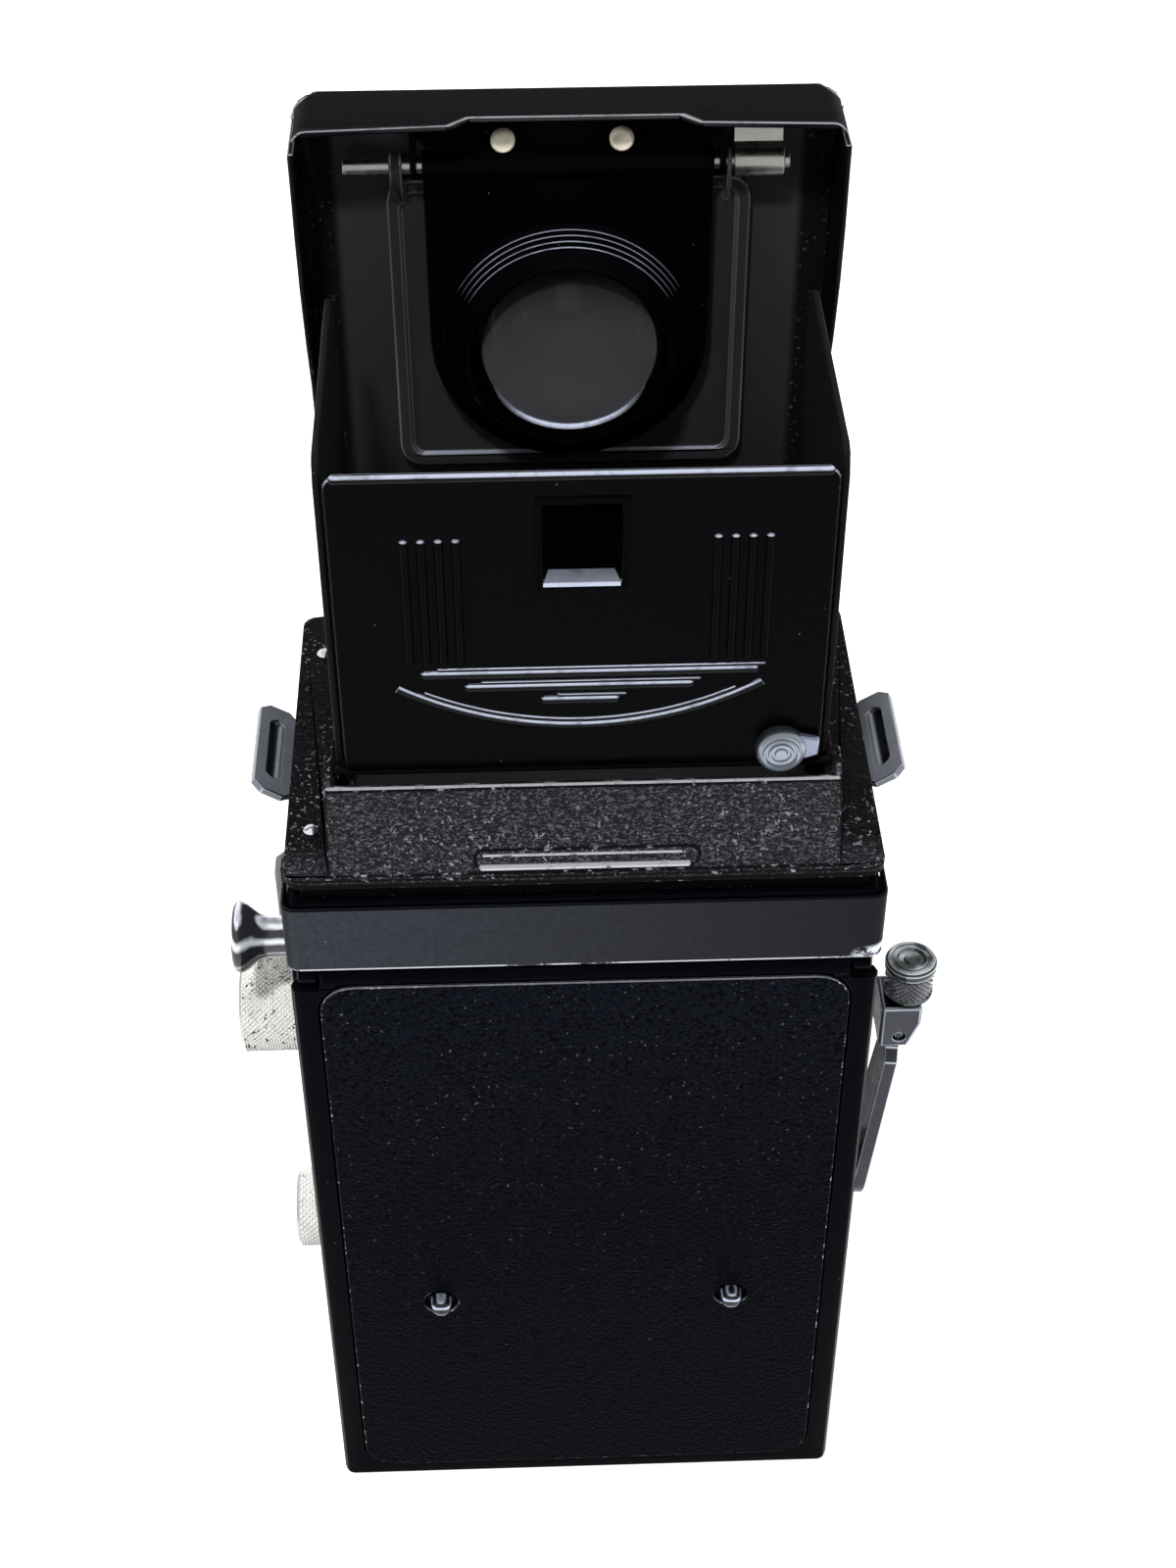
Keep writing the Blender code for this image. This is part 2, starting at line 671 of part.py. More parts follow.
def make_spools():
    carriers = {}
    for name, (y, z), paint in (
        ("take_up_spool", UPPER_SPOOL, "spool_plastic"), ("supply_spool", LOWER_SPOOL, "spool_plastic"),
    ):
        carriers[name] = body(name, (0, y, z))
        finish(turned(name, spool_profile(), (0, y, z), X, 20), paint, carriers[name])
    carriers["film_roller"] = body("film_roller", (0, *FILM_ROLLER))
    profile = [
        (0, 33.9), (1.0, 33.9), (1.0, 32.6), (2.2, 32.6), (2.2, -32.6), (1.0, -32.6), (1.0, -33.9), (0, -33.9)
    ]
    finish(turned("film_roller", profile, (0, *FILM_ROLLER), X, 14), "steel", carriers["film_roller"])
    return carriers


def make_focus_knob():
    """The focusing knob: a wheel with crossed knurls cut into its rim, on a shaft through the wall."""
    carrier = body("focus_knob", (CASTING_HALF, *FOCUS_KNOB))
    y, z = FOCUS_KNOB
    wheel = plate(
        "focus_knob", scalloped(FOCUS_KNOB, FOCUS_RADIUS, 0.35, 24), "X",
        CASTING_HALF + 2.0, CASTING_HALF + 9.9,
    )
    cap = rod("cap", FOCUS_RADIUS - 0.7, (CASTING_HALF + 1.4, y, z), (CASTING_HALF + 10.3, y, z), 24)
    shaft = rod("shaft", 2.0, (CASTING_HALF - 6.5, y, z), (CASTING_HALF + 4, y, z), 20)
    fuse(wheel, cap, shaft)
    finish(wheel, "aluminium", carrier)


# ---------------------------------------------------------------- crank


def make_crank():
    """The folding crank on its side plate: hub and gear, leaning arm, and a handle folded up along it."""
    y, z = CRANK_Y, CRANK_Z
    hub_carrier = body("crank", (SIDE_PLATE_X, y, z))
    profile = [(0, 5.2), (4.6, 5.2), (5.6, 4.6), (6.0, 3.4), (6.0, 0.3), (2.6, 0.3), (2.6, -2.9), (0, -2.9)]
    hub = turned("crank_hub", profile, (SIDE_PLATE_X, y, z), (-1, 0, 0), 22)
    fuse(hub, make_gear("crank_gear", 0))
    foot = Vector((-42.0, y, z))
    lean = Matrix.Rotation(radians(-ARM_LEAN), 4, "Y")
    seat = plate("arm_seat", [(-9, -9), (9, -9), (9, 12), (-9, 12)], "X", -8.0, 1.3)
    lean_about(seat, foot, lean)
    cut(hub, seat)
    finish(hub, "chrome", hub_carrier)

    rise, tongue = HANDLE_HINGE_RISE, HANDLE_SLOT / 2 - 0.2
    outline = arc((0, 0), 4.6, 180, 360, 10)
    outline += [
        (3.1, rise - 6.0), (tongue, rise - 4.2), (tongue, rise), (-tongue, rise), (-tongue, rise - 4.2)
    ]
    outline.append((-3.1, rise - 6.0))
    arm = plate("crank_arm", outline, "X", -1.0, 1.0)
    lean_about(arm, foot, lean)
    hinge = foot + lean.to_3x3() @ Vector((0, 0, rise))
    knuckle = rod("knuckle", 1.7, hinge - Vector((0, tongue, 0)), hinge + Vector((0, tongue, 0)), 14)
    pin = rod("handle_pin", 0.7, hinge - Vector((0, 3.2, 0)), hinge + Vector((0, 3.2, 0)), 10)
    fuse(arm, knuckle, pin)
    finish(arm, "satin_chrome", hub_carrier)
    return hub_carrier, hinge


def lean_about(obj, foot, lean):
    """Moves a piece drawn upright at the origin to its foot and leans it outwards."""
    obj.matrix_world = Matrix.Translation(foot * MM) @ lean @ obj.matrix_world


def make_crank_handle(hub_carrier, hinge):
    """The folding handle: a forked block on the arm's pin, and the grip that spins on its stem."""
    carrier = body("crank_handle", hinge)
    carrier.parent = hub_carrier
    carrier.matrix_parent_inverse = Matrix.Translation(-hub_carrier.location)
    x, y, z = hinge
    outline = [
        (x - 3.0, z + 5.8), (x - 3.0, z + 2.4), (x - 1.4, z - 2.1), (x + 2.9, z - 2.1), (x + 2.9, z + 5.8),
    ]
    block = plate("crank_yoke", outline, "Y", y - 3.5, y + 3.5)
    add_bevel(block, 0.35, 1)
    top = z + 5.8
    stem = rod("stem", 1.4, (x - 1.2, y, top - 0.5), (x - 1.2, y, top + 4.8), 14)
    fuse(block, stem)
    slot = box("slot", (x - 6, y - HANDLE_SLOT / 2, z - 3), (x + 2.0, y + HANDLE_SLOT / 2, z + 2.3))
    cut(block, slot, rod("pin_bore", 0.95, (x, y - 5, z), (x, y + 5, z), 10))
    finish(block, "satin_chrome", carrier)

    spin = body("crank_grip", (x - 1.2, y, top + 3))
    spin.parent = carrier
    spin.matrix_parent_inverse = Matrix.Translation(-carrier.location)
    r = GRIP_RADIUS
    profile = [
        (0, 6.6), (0.8, 6.6), (1.1, 6.3), (1.8, 6.3), (2.1, 6.7), (3.2, 6.7), (r, 6.3), (r, 5.2),
        (r - 0.3, 4.9), (r - 0.3, 0.7), (r - 0.7, GAP), (1.75, GAP), (1.75, 5.2), (0, 5.2),
    ]
    grip = turned("crank_grip", profile, (x - 1.2, y, top), Z, 20)
    finish(grip, "chrome", spin)


def make_gear_train(take_up):
    """The two idlers on their axles and the take-up gear, whose key turns the spool."""
    for index, name in ((1, "idler_gear_lower"), (2, "idler_gear_upper")):
        carrier = body(name, (-35.5, *gear_centres()[index]))
        finish(make_gear(name, index), "brass", carrier)
    gear = make_gear("take_up_gear", 3)
    y, z = UPPER_SPOOL
    profile = [(0, 8.0), (1.6, 8.0), (2.2, 7.3), (2.2, -0.4), (0, -0.4)]
    fuse(gear, turned("key", profile, (-35.0, y, z), X, 20))
    finish(gear, "brass", take_up)


# ---------------------------------------------------------------- hood frame and screen


def make_hood_frame():
    """The pressed frame the hood folds into: flanges, low walls, and a rear wall that leans inwards."""
    high = FLANGE_TOP
    low = high - FLANGE_SHEET
    flange = plate("hood_frame", flange_outline(), "Z", low, high)
    base = plate("frame_base", base_outline(), "Z", CASTING_TOP + GAP, low + 0.5)
    front = box(
        "front_wall", (-WALL_HALF, -36.4, CASTING_TOP + GAP), (WALL_HALF, -35.2, LID_BOTTOM - 0.9), 0.3, 1
    )
    sides = []
    for side, hinge_z in ((1, LEFT_HINGE_Z), (-1, RIGHT_HINGE_Z)):
        inner, outer = sorted((side * (WALL_HALF - WALL_SHEET), side * WALL_HALF))
        sides.append(plate("side_wall", side_wall_outline(hinge_z), "X", inner, outer))
    fuse(flange, base, front, rear_wall(), *sides)
    opening = box("opening", (-28.8, SCREEN_FRONT - 0.4, 120), (28.8, SCREEN_REAR + 0.4, high + 0.1))
    seat = box("seat", (-29.6, SCREEN_FRONT - 0.8, high - 0.5), (29.6, SCREEN_REAR + 0.9, high + 6))
    rear_bore = rod("rear_bore", 0.6, (-WALL_HALF - 1, *REAR_HINGE), (WALL_HALF + 1, *REAR_HINGE), 10)
    cut(flange, opening, seat, rear_bore)
    fuse(flange, *side_pins())
    finish(flange, "wrinkle_black")
    rib = plate("frame_rib", slot_outline((-0.3, 0), 28.0, 2.4, 5), "Y", -0.45, 0.35)
    place = Matrix.Translation(Vector((0, 25.3, 131.4)) * MM) @ Matrix.Rotation(rear_wall_lean(), 4, "X")
    rib.matrix_world = place @ PLANES["Y"].to_4x4()
    fuse(flange, rib)


def side_pins():
    """Each side panel's hinge pin, with the ears that carry it between the panel's knuckles."""
    pins = []
    for side, hinge_z in ((1, LEFT_HINGE_Z), (-1, RIGHT_HINGE_Z)):
        x = side * SIDE_HINGE_X
        pins.append(rod("side_pin", 0.35, (x, -33.0, hinge_z), (x, 15.2, hinge_z), 8))
        inner, outer = sorted((x - side * 0.2, side * (WALL_HALF - 0.3)))
        for low, high in ((-33.4, -31.0), (-19.2, -12.8), (-1.2, 5.2)):
            pins.append(box("pin_ear", (inner, low, hinge_z - 3.0), (outer, high, hinge_z + 0.7)))
    return pins


def flange_outline():
    """The flange round the casting's top and, narrower, out over the lens board."""
    half = FLANGE_HALF
    points = arc((half - 2.4, REAR - 2.4), 2.4, 0, 90, 4) + arc((2.4 - half, REAR - 2.4), 2.4, 90, 180, 4)
    points += arc((2.0 - half, FRONT + 2.0), 2.0, 180, 270, 4)
    points += [(-33.2, FRONT - 0.2), (-33, -36.4), (33, -36.4), (33.2, FRONT - 0.2)]
    return points + arc((half - 2.0, FRONT + 2.0), 2.0, 270, 360, 4)


def base_outline():
    return [(35.6, 25.2), (-35.6, 25.2), (-35.6, -26.0), (-32.5, -26.2), (-32.4, -36.0), (32.4, -36.0),
            (32.5, -26.2), (35.6, -26.0)]


def rear_wall_lean():
    foot, head = rear_wall_ends()
    return atan2(foot[0] - head[0], head[1] - foot[1])


def rear_wall_ends():
    return (26.3, FLANGE_TOP - 0.3), (21.0, 139.2)


def rear_wall():
    foot, head = rear_wall_ends()
    outline = [
        foot, head, (head[0] - 1.3, head[1]), (head[0] - 1.4, head[1] - 0.6), (foot[0] - 1.3, foot[1] - 0.4)
    ]
    return plate("rear_wall", outline, "X", -WALL_HALF + 0.1, WALL_HALF - 0.1)


def side_wall_outline(hinge_z):
    """A low wall that rises at the back round the rear panel's hinge and at the front to the lid's."""
    floor, top = FLANGE_TOP - 0.4, hinge_z - 0.9
    return [
        (-36.0, floor), (25.2, floor), (20.6, 138.9), (19.6, 141.2), (16.6, 141.2), (15.4, 138.0),
        (13.0, top), (-31.0, top), (-32.0, 138.0), (-33.0, LID_BOTTOM - 1.2), (-36.0, LID_BOTTOM - 1.2),
    ]


def make_screen_and_mirror():
    screen = box(
        "focusing_screen", (-29.2, SCREEN_FRONT - 0.4, FLANGE_TOP - 0.2),
        (29.2, SCREEN_REAR + 0.5, FLANGE_TOP + 1.2),
        0.3, 1,
    )
    finish(screen, "screen_glass")
    low, high = -23.4, 14.2
    raise_by = GAP * 1.2
    outline = [(low, low + MIRROR_RISE + raise_by), (high, high + MIRROR_RISE + raise_by)]
    outline += [
        (high - 1.1, high + 1.1 + MIRROR_RISE + raise_by), (low - 0.2, low + 2.0 + MIRROR_RISE + raise_by)
    ]
    finish(plate("reflex_mirror", outline, "X", -27.5, 27.5), "mirror")


# ---------------------------------------------------------------- folding hood


def make_side_panels():
    """The two side panels, each hinged on its wall; the right one folds in above the left one."""
    for name, side, hinge_z in (("hood_side_left", 1, LEFT_HINGE_Z), ("hood_side_right", -1, RIGHT_HINGE_Z)):
        carrier = body(name, (side * SIDE_HINGE_X, -7, hinge_z))
        low, high = SIDE_HINGE_X - SHEET / 2, SIDE_HINGE_X + SHEET / 2
        inner, outer = (low, high) if side > 0 else (-high, -low)
        panel = plate(name, side_panel_outline(hinge_z), "X", inner, outer)
        knuckles = [
            rod("knuckle", 0.8, (side * SIDE_HINGE_X, a, hinge_z), (side * SIDE_HINGE_X, b, hinge_z), 12)
            for a, b in ((-29.5, -20), (-12, -2), (6, 14.5))
        ]
        near, far = sorted((side * (high - 0.2), side * (high + 0.35)))
        ridge = plate("ridge", rounded((-14, hinge_z + 9), (11, hinge_z + 42), 3, 3), "X", near, far,
                      [rounded((-12.6, hinge_z + 10.4), (9.6, hinge_z + 40.6), 2.4, 3)])
        fuse(panel, *knuckles, ridge)
        notches = [
            box(
                "notch", (side * SIDE_HINGE_X - 1, a, hinge_z - 2),
                (side * SIDE_HINGE_X + 1, b, hinge_z + 1.2),
            )
            for a, b in ((-19.6, -12.4), (-1.6, 5.6))
        ]
        pin = (side * SIDE_HINGE_X, hinge_z)
        cut(panel, rod("pin_bore", 0.55, (pin[0], -34, pin[1]), (pin[0], 18, pin[1]), 8), *notches)
        finish(panel, "black_paint", carrier)


def side_panel_outline(hinge_z):
    """Upright against the lid below, then sloping back, so that it clears the magnifier as it folds."""
    low = hinge_z - 0.4
    return [
        (-30.2, low), (15.0, low), (16.8, low + 4), (17.0, SIDE_TOP - 3.0), (16.0, SIDE_TOP - 0.8),
        (14.4, SIDE_TOP), (-19.0, SIDE_TOP), (-21.6, SIDE_TOP - 1.6), (-22.4, hinge_z + 19),
        (-30.2, hinge_z + 12),
    ]


def make_rear_panel():
    """The rear panel with its peephole and ribs, hinged inside the frame's rear wall."""
    carrier = body("hood_rear", (0, *REAR_HINGE))
    y, hinge_z = REAR_HINGE
    low, high = y - SHEET / 2, y + SHEET / 2
    outline = rounded((-REAR_PANEL_HALF, hinge_z - 0.5), (REAR_PANEL_HALF, REAR_PANEL_TOP), 1.6, 3)
    panel = plate("hood_rear_panel", outline, "Y", low, high, [rounded((-4.9, 168.2), (4.7, 178.6), 0.8, 2)])
    top_bead = rod("bead", 0.65, (-REAR_PANEL_HALF + 0.9, y, REAR_PANEL_TOP - 0.3),
                   (REAR_PANEL_HALF - 0.9, y, REAR_PANEL_TOP - 0.3), 12)
    axle = rod("axle", 0.45, (-31.6, y, hinge_z), (31.6, y, hinge_z), 8)
    ribs = [
        plate("rib", slot_turned((centre, 165.8), 1.1, 19.0), "Y", high - 0.3, high + 0.45)
        for start in (15.3, -21.9) for centre in (start, start + 2.2, start + 4.4, start + 6.6)
    ]
    frame = plate("peep_frame", rounded((-6.2, 166.6), (6.0, 180.2), 1.2, 3), "Y", high - 0.3, high + 0.5,
                  [rounded((-4.9, 168.2), (4.7, 178.6), 0.8, 2)])
    fuse(panel, top_bead, axle, *ribs, frame, *bowed_ribs(high))
    finish(panel, "gloss_black", carrier)
    return carrier


def slot_turned(centre, width, length):
    """A slot whose long side runs up the second axis."""
    return [(centre[0] + v - centre[1], centre[1] + centre[0] - u)
            for u, v in slot_outline(centre, length, width, 2)]


def bowed_ribs(face):
    """A straight rib over a bowed one, with two short ribs between them, pressed out of the sheet."""
    half, sag, top = 21.4, 6.6, 154.7
    radius = (half**2 + sag**2) / (2 * sag)
    centre = (-0.2, top - 1.4 + radius - sag)
    spread = degrees(half / radius) * 1.015
    outer = arc(centre, radius + 0.55, 270 - spread, 270 + spread, 10)
    inner = arc(centre, radius - 0.55, 270 + spread, 270 - spread, 10)
    shapes = [outer + inner]
    for z, run in ((top, 41.4), (top - 2.1, 27.4), (top - 4.2, 9.4)):
        shapes.append(slot_outline((-0.2, z), run, 1.0, 2))
    return [plate("bowed_rib", shape, "Y", face - 0.3, face + 0.5) for shape in shapes]


def make_hood_latch(rear):
    """The round catch at the rear panel's foot, which turns to free the folded hood."""
    carrier = body("hood_latch", (-24.2, REAR_HINGE[0], 143.2))
    carrier.parent = rear
    carrier.matrix_parent_inverse = Matrix.Translation(-rear.location)
    face = REAR_HINGE[0] + SHEET / 2 + 0.3
    profile = [
        (0, 1.9), (0.9, 2.0), (1.2, 1.7), (1.7, 1.7), (2.0, 2.0), (2.6, 1.9), (3.1, 1.3), (3.1, 0), (0, 0)
    ]
    button = turned("hood_latch", profile, (-24.2, face, 143.2), Y, 16)
    outline = [(-24.2, 141.2), (-27.6, 141.9), (-28.6, 143.2), (-27.6, 145.0), (-24.2, 145.4)]
    wing = plate("wing", outline, "Y", face + 0.05, face + 0.95)
    fuse(button, wing)
    finish(button, "aluminium", carrier)


def make_lid():
    """The hood's front, which closes over it: side flanges, a lip and the sports finder's window."""
    face, back = LID_Y - SHEET / 2, LID_Y + SHEET / 2
    low, high = LID_BOTTOM - 0.4, LID_TOP
    sheet = plate(
        "hood_lid", lid_outline(low, high), "Y", face, back, [rounded((-19.2, 153.5), (19.2, 191.5), 1.5, 3)]
    )
    flanges = []
    for side in (1, -1):
        inner, outer = sorted((side * (LID_HALF - SHEET), side * LID_HALF))
        flanges.append(plate("lid_flange", lid_flange_outline(), "X", inner, outer))
    lip = plate("lid_lip", lip_outline(), "Z", high - SHEET, high)
    hinge = rod("lid_hinge", 0.9, (-31.5, LID_Y, LID_BOTTOM), (31.5, LID_Y, LID_BOTTOM), 12)
    fuse(sheet, *flanges, lip, hinge)
    finish(sheet, "gloss_black")


def lid_outline(low, high):
    half = LID_HALF
    return [(-half + 0.1, low + 3), (-half + 2.0, low), (half - 2.0, low), (half - 0.1, low + 3)] + arc(
        (half - 3.1, high - 3.1), 3.0, 0, 90, 4
    ) + arc((3.1 - half, high - 3.1), 3.0, 90, 180, 4)


def lid_flange_outline():
    """Deep at the lip, narrowing in a long curve to the hinge."""
    front = LID_Y - 0.3
    edge = [
        (-24.0, LID_TOP - 2.9), (-24.2, 192.0), (-25.2, 182.0), (-27.4, 172.5), (-30.0, 165.0), (-31.0, 158.0)
    ]
    return [(front, LID_BOTTOM + 3)] + [(-31.6, LID_BOTTOM + 3)] + edge[::-1] + [(front, LID_TOP - 2.9)]


def lip_outline():
    """The lip over the lid's top, cut back in the middle for a finger."""
    half, rear, front = LID_HALF, -24.0, LID_Y - SHEET / 2
    notch = [(14.6, rear - 1.0), (12.2, rear - 3.1), (-13.4, rear - 3.1), (-15.8, rear - 1.0)]
    left = [(half - 3, front), (half, -31), (half, rear + 2.0), (half - 1.6, rear)]
    right = [(-half + 1.6, rear), (-half, rear + 2.0), (-half, -31), (-half + 3, front)]
    return left + notch + right


def make_magnifier():
    """The sports finder flap and the flip-up magnifier, both on the silver rod across the lid."""
    bracket = plate(
        "magnifier_bracket", rounded((-17.6, 198.2), (18.2, 202.6), 0.8, 2), "Y", LID_Y + 0.7, -31.4
    )
    ears = []
    for x in (-19.4, 18.8):
        ear_outline = [(-33.4, 198.6), (-33.4, 202.4), (-31.4, 202.4), (-29.4, 196.6)] + arc(
            (ROD_Y, ROD_Z), 1.7, 0, -180, 6)
        ears.append(plate("ear", ear_outline, "X", x, x + 0.8))
    joiner = box("joiner", (-19.4, -33.4, 199.0), (19.6, -31.6, 201.8))
    fuse(bracket, joiner, *ears)
    cut(bracket, rod("rod_bore", 1.12, (-24, ROD_Y, ROD_Z), (24, ROD_Y, ROD_Z), 12))
    finish(bracket, "gloss_black")
    for name, x in (("bracket_rivet_left", 8.1), ("bracket_rivet_right", -6.5)):
        profile = [(0, 1.1), (1.2, 1.05), (1.7, 0.7), (1.8, 0.0), (0, 0.0)]
        finish(turned(name, profile, (x, -31.4 + GAP, 200.4), Y, 14), "brass")
    finish(rod("magnifier_rod", 1.0, (-27.4, ROD_Y, ROD_Z), (28.0, ROD_Y, ROD_Z), 16), "chrome")
    clip = plate("rod_clip", [(-33.4, 195.0), (-33.4, 200.4), (-32.6, 200.4), (-31.9, 198.0)] + arc(
        (ROD_Y, ROD_Z), 1.9, 80, -100, 8) + [(-32.6, 194.2)], "X", -26.6, -20.4)
    cut(clip, rod("clip_bore", 1.15, (-30, ROD_Y, ROD_Z), (-18, ROD_Y, ROD_Z), 12))
    finish(clip, "chrome")

    flap_axis = body("sports_flap", (0, ROD_Y, ROD_Z))
    flap = plate("sports_flap", rounded((-22.9, 151.2), (22.9, 193.4), 3, 3), "Y", -33.3, -32.6)
    bead = plate("flap_bead", rounded((-22.9, 151.2), (22.9, 193.4), 3, 3), "Y", -32.9, -32.0,
                 [rounded((-21.2, 152.9), (21.2, 191.7), 1.8, 3)])
    outline = [(-33.2, 190.0), (-32.4, 190.0), (-29.6, 195.0)] + arc((ROD_Y, ROD_Z), 1.6, 0, 180, 8)
    outline.append((-33.2, 194.0))
    arms = [plate("arm", outline, "X", low, high) for low, high in ((20.6, 22.2), (-20.1, -19.55))]
    fuse(flap, bead, *arms)
    cut(flap, rod("flap_bore", 1.12, (-24, ROD_Y, ROD_Z), (24, ROD_Y, ROD_Z), 12))
    finish(flap, "matte_black", flap_axis)

    axis = body("magnifier", (0, ROD_Y, ROD_Z))
    axis.parent = flap_axis
    axis.matrix_parent_inverse = Matrix.Translation(-flap_axis.location)
    outline = [(-17.9, 194.6), (-17.9, LENS_Z - 1.0)] + arc((0.1, LENS_Z - 1.0), 18.0, 180, 360, 16)
    outline += [(18.1, 194.6)]
    sheet = plate(
        "magnifier_plate", outline, "Y", MAGNIFIER_Y - 0.8, MAGNIFIER_Y, [circle((0.2, LENS_Z), 12.6, 26)]
    )
    barrel = rod("barrel", 1.9, (-17.9, ROD_Y, ROD_Z), (18.1, ROD_Y, ROD_Z), 14)
    fuse(sheet, barrel)
    cut(sheet, rod("barrel_bore", 1.12, (-24, ROD_Y, ROD_Z), (24, ROD_Y, ROD_Z), 12))
    finish(sheet, "gloss_black", axis)

    face = MAGNIFIER_Y + 0.05
    profile = [
        (12.5, 6.5), (13.0, 6.5), (13.3, 5.6), (13.9, 5.4), (14.0, 4.6), (14.7, 4.4), (14.8, 3.6),
        (15.5, 3.4), (15.6, 2.6), (16.3, 2.4), (16.4, 0.0), (11.4, 0.0), (11.4, 2.4), (12.3, 2.6),
    ]
    ring = turned("magnifier_ring", profile, (0.2, face, LENS_Z), Y, 28)
    finish(ring, "gloss_black", axis)
    lens = [(0, 2.4), (4.0, 2.25), (8.0, 1.7), (11.9, 0.8), (11.9, 0.0), (8.0, -0.5), (4.0, -0.8), (0, -0.9)]
    finish(turned("magnifier_lens", lens, (0.2, face + 3.1, LENS_Z), Y, 22), "glass", axis)


# ---------------------------------------------------------------- front


def make_lens_board():
    """The focusing front: the board on its four guide posts, with the shutter and both lenses."""
    board_axis = body("lens_board", (0, BOARD_BACK, 80))
    outline = rounded((-34, BOARD_LOW), (34, BOARD_HIGH), 4, 5)
    board = plate("lens_board", outline, "Y", BOARD_FRONT, BOARD_BACK)
    add_bevel(board, 0.8, 2)
    posts = [rod("post", 2.0, (x, BOARD_BACK - 1, z), (x, FRONT + 11.4, z), 10) for x, z in guide_posts()]
    fuse(board, *posts)
    cut(
        board,
        rod("taking_bore", 13.4, (0, FRONT + 2, TAKING_Z), (0, BOARD_FRONT - 2, TAKING_Z), 22),
        rod("viewing_bore", 15.2, (0, FRONT + 2, VIEWING_Z), (0, BOARD_FRONT - 2, VIEWING_Z), 22),
    )
    finish(board, "black_paint", board_axis)
    skin = plate(
        "front_leather", rounded((-32.4, 33), (32.4, 121.6), 3, 4), "Y", BOARD_FRONT - 0.5,
        BOARD_FRONT - 0.04,
        [circle((0, TAKING_Z), 23.9, 26), circle((0, VIEWING_Z), 17.6, 22)],
    )
    finish(skin, "leather", board_axis)
    return board_axis


def make_shutter(board_axis):
    front = BOARD_FRONT - 0.04
    profile = [
        (12.4, 12.6), (17.6, 12.6), (18.8, 11.8), (18.8, 8.4), (21.0, 8.0), (22.3, 7.0), (22.6, 6.0),
        (22.6, 0.0), (13.0, 0.0), (13.0, -5.2), (12.4, -5.2),
    ]
    shutter = turned("shutter_housing", profile, (0, front, TAKING_Z), (0, -1, 0), 26)
    slots = [
        plate("slot", ring_sector((0, TAKING_Z), 19.4, 20.6, a, b, 8), "Y", front - 9.5, front - 5.4)
        for a, b in ((118, 172), (8, 62))
    ]
    cut(shutter, *slots)
    finish(shutter, "satin_chrome", board_axis)
    for name, angle, sweep in (("speed_lever", 60, -1), ("aperture_lever", 120, 1)):
        axis = body(name, (0, front - 8, TAKING_Z))
        axis.parent = board_axis
        axis.matrix_parent_inverse = Matrix.Translation(-board_axis.location)
        stem = ring_sector((0, TAKING_Z), 19.6, 20.4, angle - 1.6, angle + 1.6, 2)
        lever = plate(name, stem, "Y", front - 9.4, front - 5.7)
        finger = ring_sector((0, TAKING_Z), 19.1, 24.6, angle - 3.2, angle + 3.2, 3)
        tab = plate("tab", finger, "Y", front - 9.6, front - 8.5)
        fuse(lever, tab)
        finish(lever, "chrome", axis)


def ring_sector(centre, inner, outer, start, end, steps):
    return arc(centre, outer, start, end, steps) + arc(centre, inner, end, start, steps)


def lens_barrel(name, z, radius, depth, front, board_axis, paint="chrome"):
    """A lens mount with a bayonet ring in front and a stepped, blackened mouth."""
    r = radius
    profile = [
        (r - 1.2, depth), (r - 0.4, depth), (r, depth - 0.6), (r, depth - 3.0), (r - 0.8, depth - 3.4),
        (r - 0.8, 0.0), (r - 4.6, 0.0), (r - 4.6, depth - 6.4), (r - 3.4, depth - 5.6),
        (r - 2.6, depth - 4.0), (r - 2.6, depth - 2.6), (r - 1.6, depth - 2.0),
    ]
    finish(turned(name, profile, (0, front, z), (0, -1, 0), 24), paint, board_axis)


def viewing_barrel(front, board_axis):
    """The viewing lens's mount: a flared foot, a bayonet ring, and a rear tube through the board."""
    profile = [
        (14.2, 19.9), (15.0, 19.9), (15.4, 19.3), (15.4, 16.9), (14.6, 16.5), (14.6, 9.0), (16.4, 8.2),
        (16.9, 7.0), (16.9, 0.05), (14.9, 0.05), (14.9, -9.0), (13.4, -9.0), (13.4, 9.0), (10.8, 9.8),
        (10.8, 13.5), (12.0, 14.3), (12.8, 15.9), (12.8, 17.3), (13.8, 17.9),
    ]
    tube = turned("viewing_lens_barrel", profile, (0, front, VIEWING_Z), (0, -1, 0), 24)
    finish(tube, "chrome", board_axis)


def make_lenses(board_axis):
    front = BOARD_FRONT
    shutter_face = front - 0.04 - 12.6 - GAP
    lens_barrel("taking_lens_barrel", TAKING_Z, 15.4, 12.0, shutter_face, board_axis)
    glass = [(0, 2.6), (3.5, 2.4), (7.0, 1.6), (9.9, 0.2), (9.9, -1.4), (6.0, -0.9), (0, -0.6)]
    finish(
        turned("taking_front_glass", glass, (0, shutter_face - 7.4, TAKING_Z), (0, -1, 0), 18), "glass",
        board_axis,
    )
    barrel = [(8.6, 3.8), (12.0, 3.8), (12.0, -12.4), (11.2, -13.2), (8.6, -13.2)]
    finish(
        turned("taking_rear_barrel", barrel, (0, front, TAKING_Z), (0, -1, 0), 18), "matte_black", board_axis
    )
    rear = [(0, -10.0), (4.5, -10.2), (8.2, -10.9), (8.2, -12.0), (4.5, -12.7), (0, -12.9)]
    finish(turned("taking_rear_glass", rear, (0, front, TAKING_Z), (0, -1, 0), 18), "glass", board_axis)
    viewing_barrel(front, board_axis)
    glass = [(0, 3.0), (4.0, 2.7), (8.0, 1.6), (10.2, 0.2), (10.2, -1.4), (6.0, -1.2), (0, -1.0)]
    place = (0, front - 8.4 - GAP - 6.2, VIEWING_Z)
    finish(turned("viewing_lens_glass", glass, place, (0, -1, 0), 18), "glass", board_axis)


# ---------------------------------------------------------------- run

